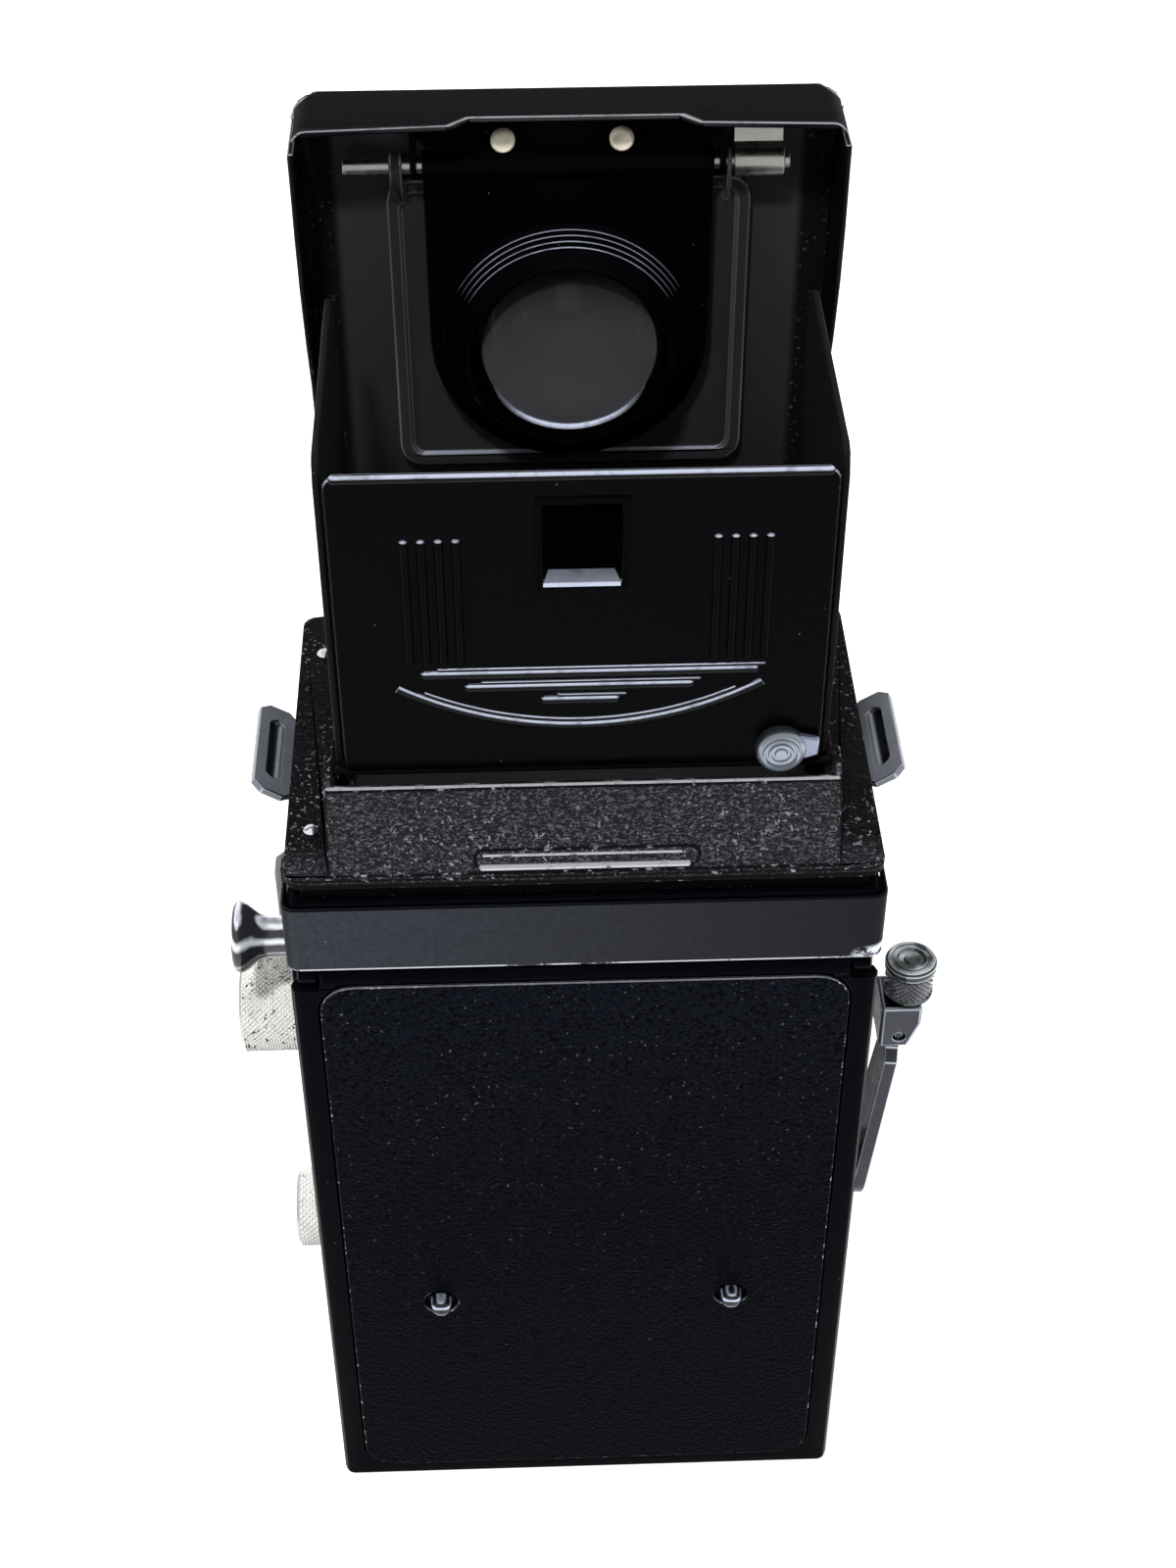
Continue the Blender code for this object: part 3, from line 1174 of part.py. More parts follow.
make_casting()
make_top_strip()
make_side_skins()
make_side_plate()
make_front_apron()
make_release_button()
make_lug("strap_lug_left", 1)
make_lug("strap_lug_right", -1)
make_shoe()
door_axis = make_door()
make_pressure_plate(door_axis)
make_lock_ring(door_axis)
make_spool_knobs()
spool_axes = make_spools()
make_focus_knob()
make_crank_handle(*make_crank())
make_gear_train(spool_axes["take_up_spool"])
make_hood_frame()
make_screen_and_mirror()
make_side_panels()
rear_axis = make_rear_panel()
make_hood_latch(rear_axis)
make_lid()
make_magnifier()
board = make_lens_board()
make_shutter(board)
make_lenses(board)
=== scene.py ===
"""Dresses the twin lens reflex camera: finishes, fine parts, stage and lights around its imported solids."""

import json
from math import atan2, cos, pi, radians, sin

import bpy
from bpy.props import FloatProperty, FloatVectorProperty, IntProperty, PointerProperty
from mathutils import Matrix, Vector

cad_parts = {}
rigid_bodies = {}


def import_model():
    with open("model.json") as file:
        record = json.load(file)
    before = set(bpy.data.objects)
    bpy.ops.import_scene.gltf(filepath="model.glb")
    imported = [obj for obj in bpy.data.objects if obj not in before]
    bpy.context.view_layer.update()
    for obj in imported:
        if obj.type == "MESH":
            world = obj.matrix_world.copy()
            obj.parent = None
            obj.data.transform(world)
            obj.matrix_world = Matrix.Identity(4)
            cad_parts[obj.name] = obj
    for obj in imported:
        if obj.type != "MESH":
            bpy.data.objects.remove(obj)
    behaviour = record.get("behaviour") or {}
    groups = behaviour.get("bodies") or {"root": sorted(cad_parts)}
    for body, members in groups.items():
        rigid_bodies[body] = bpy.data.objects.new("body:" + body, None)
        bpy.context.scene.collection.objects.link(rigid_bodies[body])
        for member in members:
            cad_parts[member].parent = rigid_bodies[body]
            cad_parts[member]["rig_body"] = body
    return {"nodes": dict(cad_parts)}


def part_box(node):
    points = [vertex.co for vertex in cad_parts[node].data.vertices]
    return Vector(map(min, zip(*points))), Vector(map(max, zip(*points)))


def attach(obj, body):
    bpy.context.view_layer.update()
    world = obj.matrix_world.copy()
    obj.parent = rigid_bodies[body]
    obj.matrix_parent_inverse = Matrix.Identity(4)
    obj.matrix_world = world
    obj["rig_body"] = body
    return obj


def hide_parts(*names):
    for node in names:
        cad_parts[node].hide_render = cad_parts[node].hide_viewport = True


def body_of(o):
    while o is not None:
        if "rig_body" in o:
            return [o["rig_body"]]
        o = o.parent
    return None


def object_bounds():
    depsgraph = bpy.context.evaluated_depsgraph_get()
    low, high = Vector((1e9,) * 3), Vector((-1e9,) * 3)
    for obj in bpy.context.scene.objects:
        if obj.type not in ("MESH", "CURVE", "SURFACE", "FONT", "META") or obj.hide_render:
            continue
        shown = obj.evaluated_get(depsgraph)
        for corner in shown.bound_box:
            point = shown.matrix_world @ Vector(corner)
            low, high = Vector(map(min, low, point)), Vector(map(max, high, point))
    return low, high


bl_info = {
    "name": "Twin Lens Reflex Dresser",
    "version": (1, 0, 0),
    "blender": (4, 5, 0),
    "location": "View3D > Sidebar > Reflex",
    "description": "Builds the finishes and fine parts of a twin lens reflex camera around its frame",
    "category": "Object",
}

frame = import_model()
SOLIDS_BOX = [list(corner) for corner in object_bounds()]
MM = 0.001
X, Y, Z = Vector((1, 0, 0)), Vector((0, 1, 0)), Vector((0, 0, 1))

# The colour of dust on black paint, and the distances in metres over which painted light, shade, sheen and
# glints on a finish change.
DUST = (0.16, 0.16, 0.176)
LEATHER_PAINTED_LIGHT = (0.06, 0.11)
LEATHER_PAINTED_GLINTS = (0.03, 0.11)
RIM_PAINTED_LIGHT = (0.0205, 0.0245)
WELL_PAINTED_SHADE_ENDS = (0.012, 0.014)
LID_PAINTED_SHEEN = (0.004, 0.026)


# ---------------------------------------------------------------- settings


def colour(name, description, value):
    return FloatVectorProperty(
        name=name, description=description, subtype="COLOR", size=3, min=0.0, max=1.0, default=value
    )


def length(name, description, millimetres):
    size = millimetres * MM
    return FloatProperty(name=name, description=description, subtype="DISTANCE", unit="LENGTH", default=size)


class ReflexFinishes(bpy.types.PropertyGroup):
    """Colours of the camera's finishes."""

    enamel: colour("Enamel", "Gloss black enamel on the hood and magnifier", (0.001, 0.001, 0.0016))
    satin: colour("Satin paint", "Semi-gloss black paint on the body", (0.0012, 0.0015, 0.0026))
    strip: colour("Cover strip", "Smooth paint on the strip over the hinge", (0.029, 0.032, 0.04))
    wrinkle: colour("Wrinkle paint", "Crinkled paint on the hood's frame", (0.018, 0.018, 0.021))
    matt: colour("Matt paint", "Matt paint inside the hood", (0.024, 0.024, 0.026))
    leather: colour("Leather", "Pebbled leather on the body", (0.0019, 0.0023, 0.0044))
    # Bare metal, where paint has worn off. The worn edges' painted highlights use it too.
    bare: colour("Bare metal", "Metal that shows where paint has worn off", (0.42, 0.43, 0.46))
    # The colour of the painted highlight on upper edges. The strip's bare foot and the peephole's ledge use
    # it too.
    painted_highlight: colour("Gleam", "Light on the polished upper edges of the enamel", (0.62, 0.67, 0.82))
    chrome: colour("Chrome", "Bright plated fittings", (0.62, 0.64, 0.68))
    dull: colour("Dull chrome", "Tarnished plate on the lugs and the crank", (0.13, 0.137, 0.16))
    plate: colour("Satin chrome", "Brushed plated parts", (0.17, 0.173, 0.185))
    aluminium: colour("Aluminium", "Pale knurled knobs", (0.6, 0.59, 0.57))
    cream: colour("Rivet heads", "Cream heads of the bracket's rivets", (0.8, 0.75, 0.6))
    brass: colour("Brass", "Gears", (0.62, 0.5, 0.26))


class ReflexSizes(bpy.types.PropertyGroup):
    """Sizes of the camera's fine details."""

    paint_edge: length("Paint edge", "Radius of a painted sheet's edges", 0.22)
    metal_edge: length("Metal edge", "Radius of a machined part's edges", 0.16)
    knurl_depth: length("Knurl depth", "Depth of the crossed knurls", 0.26)
    pebble: length("Pebble", "Width of one grain of the leather", 0.62)
    wrinkle: length("Wrinkle", "Width of one crease of the wrinkle paint", 0.3)
    knurl_teeth: IntProperty(
        name="Knurl teeth", description="Grooves each way round the focusing knob", min=12, default=56
    )


# ---------------------------------------------------------------- modelling helpers


def finishes():
    return bpy.context.scene.reflex_finishes


def sizes():
    return bpy.context.scene.reflex_sizes


def mm(x, y, z):
    """A step in millimetres."""
    return Vector((x, y, z)) * MM


def select_only(obj):
    if bpy.context.mode != "OBJECT":
        bpy.ops.object.mode_set(mode="OBJECT")
    bpy.ops.object.select_all(action="DESELECT")
    obj.select_set(True)
    bpy.context.view_layer.objects.active = obj


def open_mesh(obj, action="DESELECT"):
    """Starts editing a piece with nothing selected, or all of it."""
    select_only(obj)
    bpy.ops.object.mode_set(mode="EDIT")
    bpy.ops.mesh.select_all(action=action)


def close_mesh():
    bpy.ops.object.mode_set(mode="OBJECT")


def open_where(obj, chosen):
    """Starts editing a piece with the vertices selected whose place passes a test."""
    open_mesh(obj)
    close_mesh()
    for vertex in obj.data.vertices:
        vertex.select = chosen(vertex.co)
    bpy.ops.object.mode_set(mode="EDIT")


def seal(fill=False):
    """Ends the editing of a spun piece: merges its seam, fills open ends and turns its faces outwards."""
    bpy.ops.mesh.select_all(action="SELECT")
    bpy.ops.mesh.remove_doubles(threshold=1e-6)
    if fill:
        bpy.ops.mesh.fill_holes(sides=0)
    bpy.ops.mesh.normals_make_consistent(inside=False)
    close_mesh()


def apply_modifiers(obj):
    select_only(obj)
    for modifier in list(obj.modifiers):
        bpy.ops.object.modifier_apply(modifier=modifier.name)


def settle(obj):
    """Moves a piece's place, turn and scale into its mesh."""
    select_only(obj)
    bpy.ops.object.transform_apply(location=True, rotation=True, scale=True)


def aim(piece, place, direction, turn=0.0):
    """Points a piece's Z axis along a direction, turned about it, and moves it to a place."""
    facing = Z.rotation_difference(direction).to_matrix().to_4x4()
    piece.matrix_world = Matrix.Translation(place) @ facing @ Matrix.Rotation(turn, 4, "Z")
    settle(piece)


def copy_of(piece):
    """A copy with its own mesh."""
    copy = bpy.data.objects.new(piece.name, piece.data.copy())
    bpy.context.scene.collection.objects.link(copy)
    return copy


def combine(obj, operation, *others):
    """Applies a Boolean of a piece with each of the others, and removes them."""
    for other in others:
        tool = obj.modifiers.new("shape", "BOOLEAN")
        tool.operation = operation
        tool.object = other
    apply_modifiers(obj)
    for other in others:
        bpy.data.objects.remove(other)


def round_edges(obj, width, segments=2, angle=30, material=-1):
    bevel = obj.modifiers.new("rounded_edges", "BEVEL")
    bevel.width = width
    bevel.segments = segments
    bevel.limit_method = "ANGLE"
    bevel.angle_limit = radians(angle)
    bevel.use_clamp_overlap = False
    bevel.miter_outer = "MITER_ARC"
    bevel.material = material
    apply_modifiers(obj)


def bevel_edges(obj, chosen, radius, segments=4):
    """Rounds the edges whose two ends pass a test, and no others."""
    open_mesh(obj)
    bpy.ops.mesh.select_mode(type="EDGE")
    close_mesh()
    for line in obj.data.edges:
        line.select = chosen(*(obj.data.vertices[i].co for i in line.vertices))
    bpy.ops.object.mode_set(mode="EDIT")
    bpy.ops.mesh.bevel(offset=radius, segments=segments, affect="EDGES")
    bpy.ops.mesh.select_mode(type="VERT")
    close_mesh()


def smooth(obj, angle):
    """Smooth shading below an angle, with the flat faces kept flat."""
    select_only(obj)
    bpy.ops.object.shade_smooth_by_angle(angle=radians(angle))
    weighting = obj.modifiers.new("flat_faces", "WEIGHTED_NORMAL")
    weighting.keep_sharp = True
    weighting.weight = 90
    apply_modifiers(obj)


def paint(piece, *names):
    """Gives a piece these finishes alone. An empty name is left out."""
    piece.data.materials.clear()
    for name in filter(None, names):
        piece.data.materials.append(bpy.data.materials[name])


def hand_over(piece, name, node, replaces=True, angle=35):
    """Names a finished piece and sets it on a node's body, in place of that node where it replaces it."""
    settle(piece)
    piece.name = piece.data.name = name
    smooth(piece, angle)
    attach(piece, body_of(frame["nodes"][node])[0])
    if replaces:
        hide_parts(node)


def copied(node):
    """A clean copy of a solid, its loose triangles joined."""
    piece = copy_of(frame["nodes"][node])
    open_mesh(piece, "SELECT")
    bpy.ops.mesh.remove_doubles(threshold=2e-6)
    bpy.ops.mesh.tris_convert_to_quads(face_threshold=radians(1), shape_threshold=radians(50))
    close_mesh()
    return piece


def dressed(node, slot, finish, worn="", edge=0.0, shaped=None):
    """A solid with rounded edges and its own finish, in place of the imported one. Worn takes the edges."""
    piece = shaped or copied(node)
    paint(piece, finish, worn)
    sheet = slot in ("black_paint", "gloss_black", "wrinkle_black", "matte_black")
    usual = sizes().paint_edge if sheet else sizes().metal_edge
    round_edges(piece, edge or usual, material=1 if worn else -1)
    hand_over(piece, node + "_finished", node)


def added(piece, name, node, slot, finish, edge=0.0, segments=2):
    """A small piece that rides on the body of a node, beside the node's own piece."""
    paint(piece, finish)
    if edge:
        round_edges(piece, edge, segments)
    hand_over(piece, name, node, replaces=False)


def primitive(add, **values):
    """A new primitive, with nothing else selected and its place in its mesh."""
    bpy.ops.object.select_all(action="DESELECT")
    add(**values)
    piece = bpy.context.object
    settle(piece)
    return piece


def block(low, high):
    """A box between two corners."""
    low, high = Vector(low), Vector(high)
    return primitive(bpy.ops.mesh.primitive_cube_add, size=1, location=(low + high) / 2, scale=high - low)


def joined(pieces):
    select_only(pieces[0])
    for piece in pieces[1:]:
        piece.select_set(True)
    bpy.ops.object.join()
    return pieces[0]


def middle(node):
    low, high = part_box(node)
    return (low + high) / 2


def tip(node, direction):
    """The far end of a piece along an axis through the middle of its box."""
    low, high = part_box(node)
    return middle(node) + Vector([reach / 2 * way for reach, way in zip(high - low, direction)])


def four_places(centre, across, along):
    """The places at plus and minus two steps from a centre."""
    return [centre + side * across + rise * along for rise in (-1, 1) for side in (-1, 1)]


def front_corners(node, inset):
    """The four corners of a node's front face, moved in on both sides by an inset in millimetres."""
    low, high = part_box(node)
    half = (high - low) / 2 - mm(inset, 0, inset)
    return four_places(tip(node, -Y), half.x * X, half.z * Z)


def turned(profile, direction, steps=64, place=(0, 0, 0)):
    """A solid spun from (radius, height) pairs in millimetres, its heights along a direction from a place."""
    points = [mm(radius, 0, height) for radius, height in profile]
    piece = primitive(bpy.ops.mesh.primitive_plane_add, size=MM, location=points[0])
    open_mesh(piece, "SELECT")
    bpy.ops.mesh.merge(type="CENTER")
    for here, there in zip(points, points[1:]):
        bpy.ops.mesh.extrude_vertices_move(TRANSFORM_OT_translate={"value": there - here})
    bpy.ops.mesh.select_all(action="SELECT")
    bpy.ops.mesh.spin(steps=steps, angle=2 * pi, center=(0, 0, 0), axis=(0, 0, 1), dupli=False)
    seal()
    aim(piece, place, direction)
    return piece


def lathe(slot, finish, profile, direction, *nodes, steps=72, edge=0.0, shift=Vector()):
    """Turns a piece and sets a copy in place of each node, its heights back from the node's far end."""
    model = turned(profile, direction, steps)
    paint(model, finish)
    if edge:
        round_edges(model, edge, angle=25)
    for node in nodes:
        piece = copy_of(model)
        piece.location = tip(node, direction) + shift
        hand_over(piece, node + "_finished", node, angle=40)
    bpy.data.objects.remove(model)


def rib(start, end, radius, steps=20):
    """A straight bar with round ends between two points, its radius in millimetres."""
    half = (end - start).length / 2 / MM - radius
    quarter = [radians(angle) for angle in range(0, 91, 15)]
    cap = [(radius * sin(angle), half + radius * cos(angle)) for angle in quarter]
    profile = cap + [(r, -h) for r, h in reversed(cap)]
    profile[0], profile[-1] = (0, half + radius), (0, -half - radius)
    return turned(profile, (end - start).normalized(), steps, (start + end) / 2)


def bowed_rod(centre, reach, spread, radius):
    """A round rod bent along an arc below a point, across the Y axis. Lengths are in millimetres."""
    start = centre + mm(-reach * sin(spread), 0, -reach * cos(spread))
    rod = primitive(
        bpy.ops.mesh.primitive_circle_add,
        vertices=14, radius=radius * MM, location=start, rotation=(0, pi / 2 + spread, 0),
    )
    open_mesh(rod, "SELECT")
    bpy.ops.mesh.spin(steps=40, angle=2 * spread, center=centre, axis=(0, 1, 0), dupli=False)
    seal(fill=True)
    return rod


def toothed_drum(radius, depth, run, teeth, twist):
    """A drum along Z with V grooves round it that wind along it by an angle. Lengths are in metres."""
    add = bpy.ops.mesh.primitive_cylinder_add
    drum = primitive(add, vertices=teeth * 2, radius=radius, depth=run, end_fill_type="NGON")
    open_mesh(drum)
    close_mesh()
    rim = sorted(drum.data.vertices, key=lambda vertex: round(atan2(vertex.co.y, vertex.co.x), 4))
    for index, vertex in enumerate(rim):
        vertex.select = index // 2 % 2 == 0
    bpy.ops.object.mode_set(mode="EDIT")
    inward = (radius - depth) / radius
    bpy.ops.transform.resize(value=(inward, inward, 1), center_override=(0, 0, 0))
    for eighths in (0, -3, -2, -1, 1, 2, 3):
        bpy.ops.mesh.select_all(action="SELECT")
        bpy.ops.mesh.bisect(plane_co=(0, 0, run * eighths / 8), plane_no=(0, 0, 1))
    close_mesh()
    winding = drum.modifiers.new("winding", "SIMPLE_DEFORM")
    winding.deform_method = "TWIST"
    winding.deform_axis = "Z"
    winding.angle = twist
    apply_modifiers(drum)
    return drum


def knurled(radius, depth, run, teeth, place, direction):
    """A drum whose rim carries diamonds, where grooves wound left and right cross."""
    drum = toothed_drum(radius, depth, run, teeth, run / radius)
    combine(drum, "INTERSECT", toothed_drum(radius, depth, run, teeth, -run / radius))
    aim(drum, place, direction)
    return drum


def screws(name, node, places, direction, radius, step, start=0.0, rise=0.35, finish="bright_steel"):
    """Slotted cheese-head screws: one is modelled, and each place gets a copy, turned one step further."""
    profile = [
        (0, rise), (radius * 0.6, rise * 0.94), (radius * 0.85, rise * 0.75), (radius, rise * 0.4),
        (radius, -0.1), (0, -0.1),
    ]
    head = turned(profile, Z, 24)
    reach, half_width, depth = radius * 1.2, radius * 0.14, 0.22
    slot = block(mm(-reach, -half_width, rise - depth), mm(reach, half_width, 1))
    combine(head, "DIFFERENCE", slot)
    for index, place in enumerate(places):
        piece = copy_of(head)
        aim(piece, place, direction, start + step * index)
        added(piece, f"{name}_{index + 1}", node, "chrome", finish)
    bpy.data.objects.remove(head)


# ---------------------------------------------------------------- shader helpers


def put(tree, kind, **values):
    """Adds a node, with values or links for its sockets by name. An underscore stands for a space."""
    node = tree.nodes.new("ShaderNode" + kind)
    for name, value in values.items():
        feed(tree, value, node.inputs[name.replace("_", " ")])
    return node


def feed(tree, value, socket):
    """Links a socket to what feeds it, or gives it a plain value."""
    if isinstance(value, bpy.types.NodeSocket):
        tree.links.new(value, socket)
    elif socket.type == "RGBA":
        socket.default_value = (*value, 1.0)
    else:
        socket.default_value = value


def blank_finish(name, **values):
    """A new material's tree and its Principled shader. Values are its plain sockets."""
    material = bpy.data.materials.new(name)
    material.use_nodes = True
    shader = material.node_tree.nodes["Principled BSDF"]
    for socket, value in values.items():
        shader.inputs[socket.replace("_", " ")].default_value = value
    return material.node_tree, shader


def coat(tree, shader, **values):
    """Feeds the sockets of a finish's shader, by name."""
    for socket, value in values.items():
        feed(tree, value, shader.inputs[socket.replace("_", " ")])


def new_effect(name, inputs, outputs):
    """An empty shader group with float inputs and outputs, and Object coordinates inside."""
    tree = bpy.data.node_groups.new(name, "ShaderNodeTree")
    for label, value in inputs.items():
        tree.interface.new_socket(label, in_out="INPUT", socket_type="NodeSocketFloat").default_value = value
    for label in outputs:
        tree.interface.new_socket(label, in_out="OUTPUT", socket_type="NodeSocketFloat")
    given = tree.nodes.new("NodeGroupInput").outputs
    return tree, given, tree.nodes.new("NodeGroupOutput").inputs, coordinates(tree)


def coordinates(tree, kind="Object"):
    return tree.nodes.new("ShaderNodeTexCoord").outputs[kind]


def axes(tree, kind="Object"):
    """The X, Y and Z of a place on the piece, or of its normal."""
    return put(tree, "SeparateXYZ", Vector=coordinates(tree, kind)).outputs


def effect(tree, name, **values):
    """Places a shared effect in a material, and gives what it puts out first."""
    node = tree.nodes.new("ShaderNodeGroup")
    node.node_tree = bpy.data.node_groups[name]
    for socket, value in values.items():
        node.inputs[socket].default_value = value
    return node.outputs[0]


def noise(tree, place, scale, detail=2.0, rough=0.6, distortion=0.0):
    values = {"Scale": scale, "Detail": detail, "Roughness": rough, "Distortion": distortion}
    return put(tree, "TexNoise", Vector=place, **values).outputs["Fac"]


def math_node(tree, operation, *values, clamp=False):
    node = tree.nodes.new("ShaderNodeMath")
    node.operation = operation
    node.use_clamp = clamp
    for value, socket in zip(values, node.inputs):
        feed(tree, value, socket)
    return node.outputs[0]


def times(tree, first, second):
    return math_node(tree, "MULTIPLY", first, second)


def remap(tree, value, low, high, out_low=0.0, out_high=1.0):
    node = tree.nodes.new("ShaderNodeMapRange")
    sockets = ("Value", "From Min", "From Max", "To Min", "To Max")
    for socket, number in zip(sockets, (value, low, high, out_low, out_high)):
        feed(tree, number, node.inputs[socket])
    return node.outputs["Result"]


def mixed(tree, factor, first, second):
    """A colour between two colours, by a mask."""
    node = tree.nodes.new("ShaderNodeMix")
    node.data_type = "RGBA"
    tree.links.new(factor, node.inputs["Factor"])
    for label, value in (("A", first), ("B", second)):
        feed(tree, value, next(s for s in node.inputs if s.name == label and s.type == "RGBA"))
    return next(s for s in node.outputs if s.type == "RGBA")


def tint(base, share):
    """A darker or lighter colour."""
    return [channel * share for channel in base]


def smudged(tree, low, high, scale=60.0):
    """Uneven values between two limits."""
    return effect(tree, "smudges", Scale=scale, Low=low, High=high)


def bumped(tree, height, distance, shader):
    """Raises a height map on the shader. The distance is in millimetres."""
    bump = put(tree, "Bump", Distance=distance * MM, Strength=1.0, Height=height)
    tree.links.new(bump.outputs["Normal"], shader.inputs["Normal"])


def build_effects():
    """The effects that several finishes share."""
    settings = {"Scale": 700.0, "Size": 0.06, "Share": 0.1}
    tree, given, out, place = new_effect("dust_specks", settings, ["Mask"])
    cells = put(tree, "TexVoronoi", Vector=place, Scale=given["Scale"])
    near = math_node(tree, "LESS_THAN", cells.outputs["Distance"], given["Size"])
    split = put(tree, "SeparateColor", Color=cells.outputs["Color"])
    chosen = math_node(tree, "LESS_THAN", split.outputs["Red"], given["Share"])
    feed(tree, times(tree, near, times(tree, split.outputs["Green"], chosen)), out["Mask"])

    tree, given, out, place = new_effect("smudges", {"Scale": 60.0, "Low": 0.2, "High": 0.4}, ["Value"])
    broad = noise(tree, place, given["Scale"], 4.0, distortion=0.6)
    feed(tree, remap(tree, broad, 0.35, 0.65, given["Low"], given["High"]), out["Value"])

    tree, given, out, place = new_effect("rubbed_metal", {"Scale": 260.0, "Cover": 0.5}, ["Mask"])
    coarse, fine = noise(tree, place, given["Scale"], 3.0), noise(tree, place, 2600.0)
    total = math_node(tree, "MULTIPLY_ADD", fine, 0.35, coarse)
    edge = math_node(tree, "SUBTRACT", 1.0, given["Cover"])
    high = math_node(tree, "ADD", edge, 0.12)
    feed(tree, remap(tree, math_node(tree, "SUBTRACT", total, 0.175), edge, high), out["Mask"])

    # Painted highlight: a mask over faces that turn upwards, where light from above would fall. Level sets it
    # on level faces.
    tree, given, out, place = new_effect("painted_upper_highlight", {"Low": 0.4, "High": 0.72, "Level": 0.0}, ["Mask"])
    rise = axes(tree, "Normal")["Z"]
    risen = remap(tree, rise, given["Low"], given["High"])
    level = remap(tree, rise, 0.93, 0.999, 1.0, given["Level"])
    uneven = remap(tree, noise(tree, place, 420.0, 3.0), 0.3, 0.5, 0.45, 1.0)
    feed(tree, times(tree, times(tree, risen, level), uneven), out["Mask"])

    # Painted glints: small bright spots, gathered in patches.
    tree, given, out, place = new_effect("glints", {"Scale": 2600.0, "Cover": 0.3, "Patch": 60.0}, ["Mask"])
    edge = math_node(tree, "SUBTRACT", 1.0, given["Cover"])
    fine = noise(tree, place, given["Scale"], rough=0.5)
    spots = remap(tree, fine, edge, math_node(tree, "ADD", edge, 0.05))
    feed(tree, times(tree, spots, remap(tree, noise(tree, place, given["Patch"]), 0.38, 0.6)), out["Mask"])

    tree, given, out, place = new_effect("pebble_grain", {"Pebble": 0.62 * MM}, ["Height", "CreaseShade"])
    scale = math_node(tree, "DIVIDE", 1.0, given["Pebble"])
    warp = put(tree, "TexNoise", Vector=place, Scale=times(tree, scale, 0.7), Detail=2.0, Roughness=0.5)
    shift = put(tree, "VectorMath")
    shift.operation = "MULTIPLY_ADD"
    for value, socket in zip((warp.outputs["Color"], (0.9 * MM,) * 3, place), shift.inputs):
        feed(tree, value, socket)
    cells = put(tree, "TexVoronoi", Vector=shift.outputs[0], Scale=scale)
    cells.feature = "SMOOTH_F1"
    cells.inputs["Smoothness"].default_value = 0.35
    dome = remap(tree, cells.outputs["Distance"], 0.1, 0.75, 1.0, 0.0)
    pores = noise(tree, place, times(tree, scale, 3.2), 3.0)
    feed(tree, math_node(tree, "MULTIPLY_ADD", pores, 0.35, dome), out["Height"])
    # CreaseShade is painted shade: dark between the pebbles.
    feed(tree, remap(tree, dome, 0.0, 0.5, 1.0, 0.0), out["CreaseShade"])

    tree, given, out, place = new_effect("wrinkles", {"Width": 0.3 * MM}, ["Height", "Crest"])
    scale = math_node(tree, "DIVIDE", 0.5, given["Width"])
    stretched = put(tree, "Mapping", Vector=place, Scale=(1.0, 1.5, 2.4)).outputs["Vector"]
    ridged = noise(tree, stretched, scale, 3.5, 0.62, 0.9)
    fine = noise(tree, place, times(tree, scale, 2.6))
    feed(tree, math_node(tree, "MULTIPLY_ADD", fine, 0.4, ridged), out["Height"])
    feed(tree, remap(tree, ridged, 0.5, 0.66), out["Crest"])

    tree, given, out, place = new_effect("fine_lines", {"Scale": 900.0, "Length": 0.05}, ["Height"])
    squeeze = put(tree, "CombineXYZ", X=1.0, Y=1.0, Z=given["Length"])
    squeezed = put(tree, "Mapping", Vector=place, Scale=squeeze.outputs["Vector"]).outputs["Vector"]
    feed(tree, noise(tree, squeezed, given["Scale"], rough=0.7), out["Height"])


# ---------------------------------------------------------------- finishes


def painted(name, base, low, high, specular, painted_highlight=0.0, level=0.0):
    """Black paint with fine dust, faint smudges and, on its upper edges, a painted highlight where light from
    above would fall.
    """
    tree, shader = blank_finish(name, Specular_IOR_Level=specular)
    shade = mixed(tree, effect(tree, "dust_specks"), base, DUST)
    rough = smudged(tree, low, high)
    # Painted highlight: upper faces take the highlight colour, turn metallic and grow smoother.
    if painted_highlight:
        light = times(tree, effect(tree, "painted_upper_highlight", Level=level), painted_highlight)
        shade = mixed(tree, light, shade, finishes().painted_highlight)
        rough = remap(tree, light, 0.0, 1.0, rough, 0.16)
        coat(tree, shader, Metallic=light)
    coat(tree, shader, Base_Color=shade, Roughness=rough)
    bumped(tree, smudged(tree, 0.0, 1.0, 420.0), 0.01, shader)


def rubbed(name, base, cover, scale, low, specular, painted_highlight=0.0):
    """The same paint on an edge, where handling has bared the metal in places. Where a painted highlight is
    asked for, upper faces are drawn as bare metal too.
    """
    tree, shader = blank_finish(name, Specular_IOR_Level=specular)
    mask = effect(tree, "rubbed_metal", Cover=cover, Scale=scale)
    # Painted highlight: upper faces join the bared metal.
    if painted_highlight:
        light = times(tree, effect(tree, "painted_upper_highlight", Low=0.15, High=0.5), painted_highlight)
        mask = math_node(tree, "MAXIMUM", mask, light)
    shade = mixed(tree, mask, base, finishes().bare)
    coat(tree, shader, Base_Color=shade, Metallic=mask, Roughness=remap(tree, mask, 0.0, 1.0, low, 0.3))


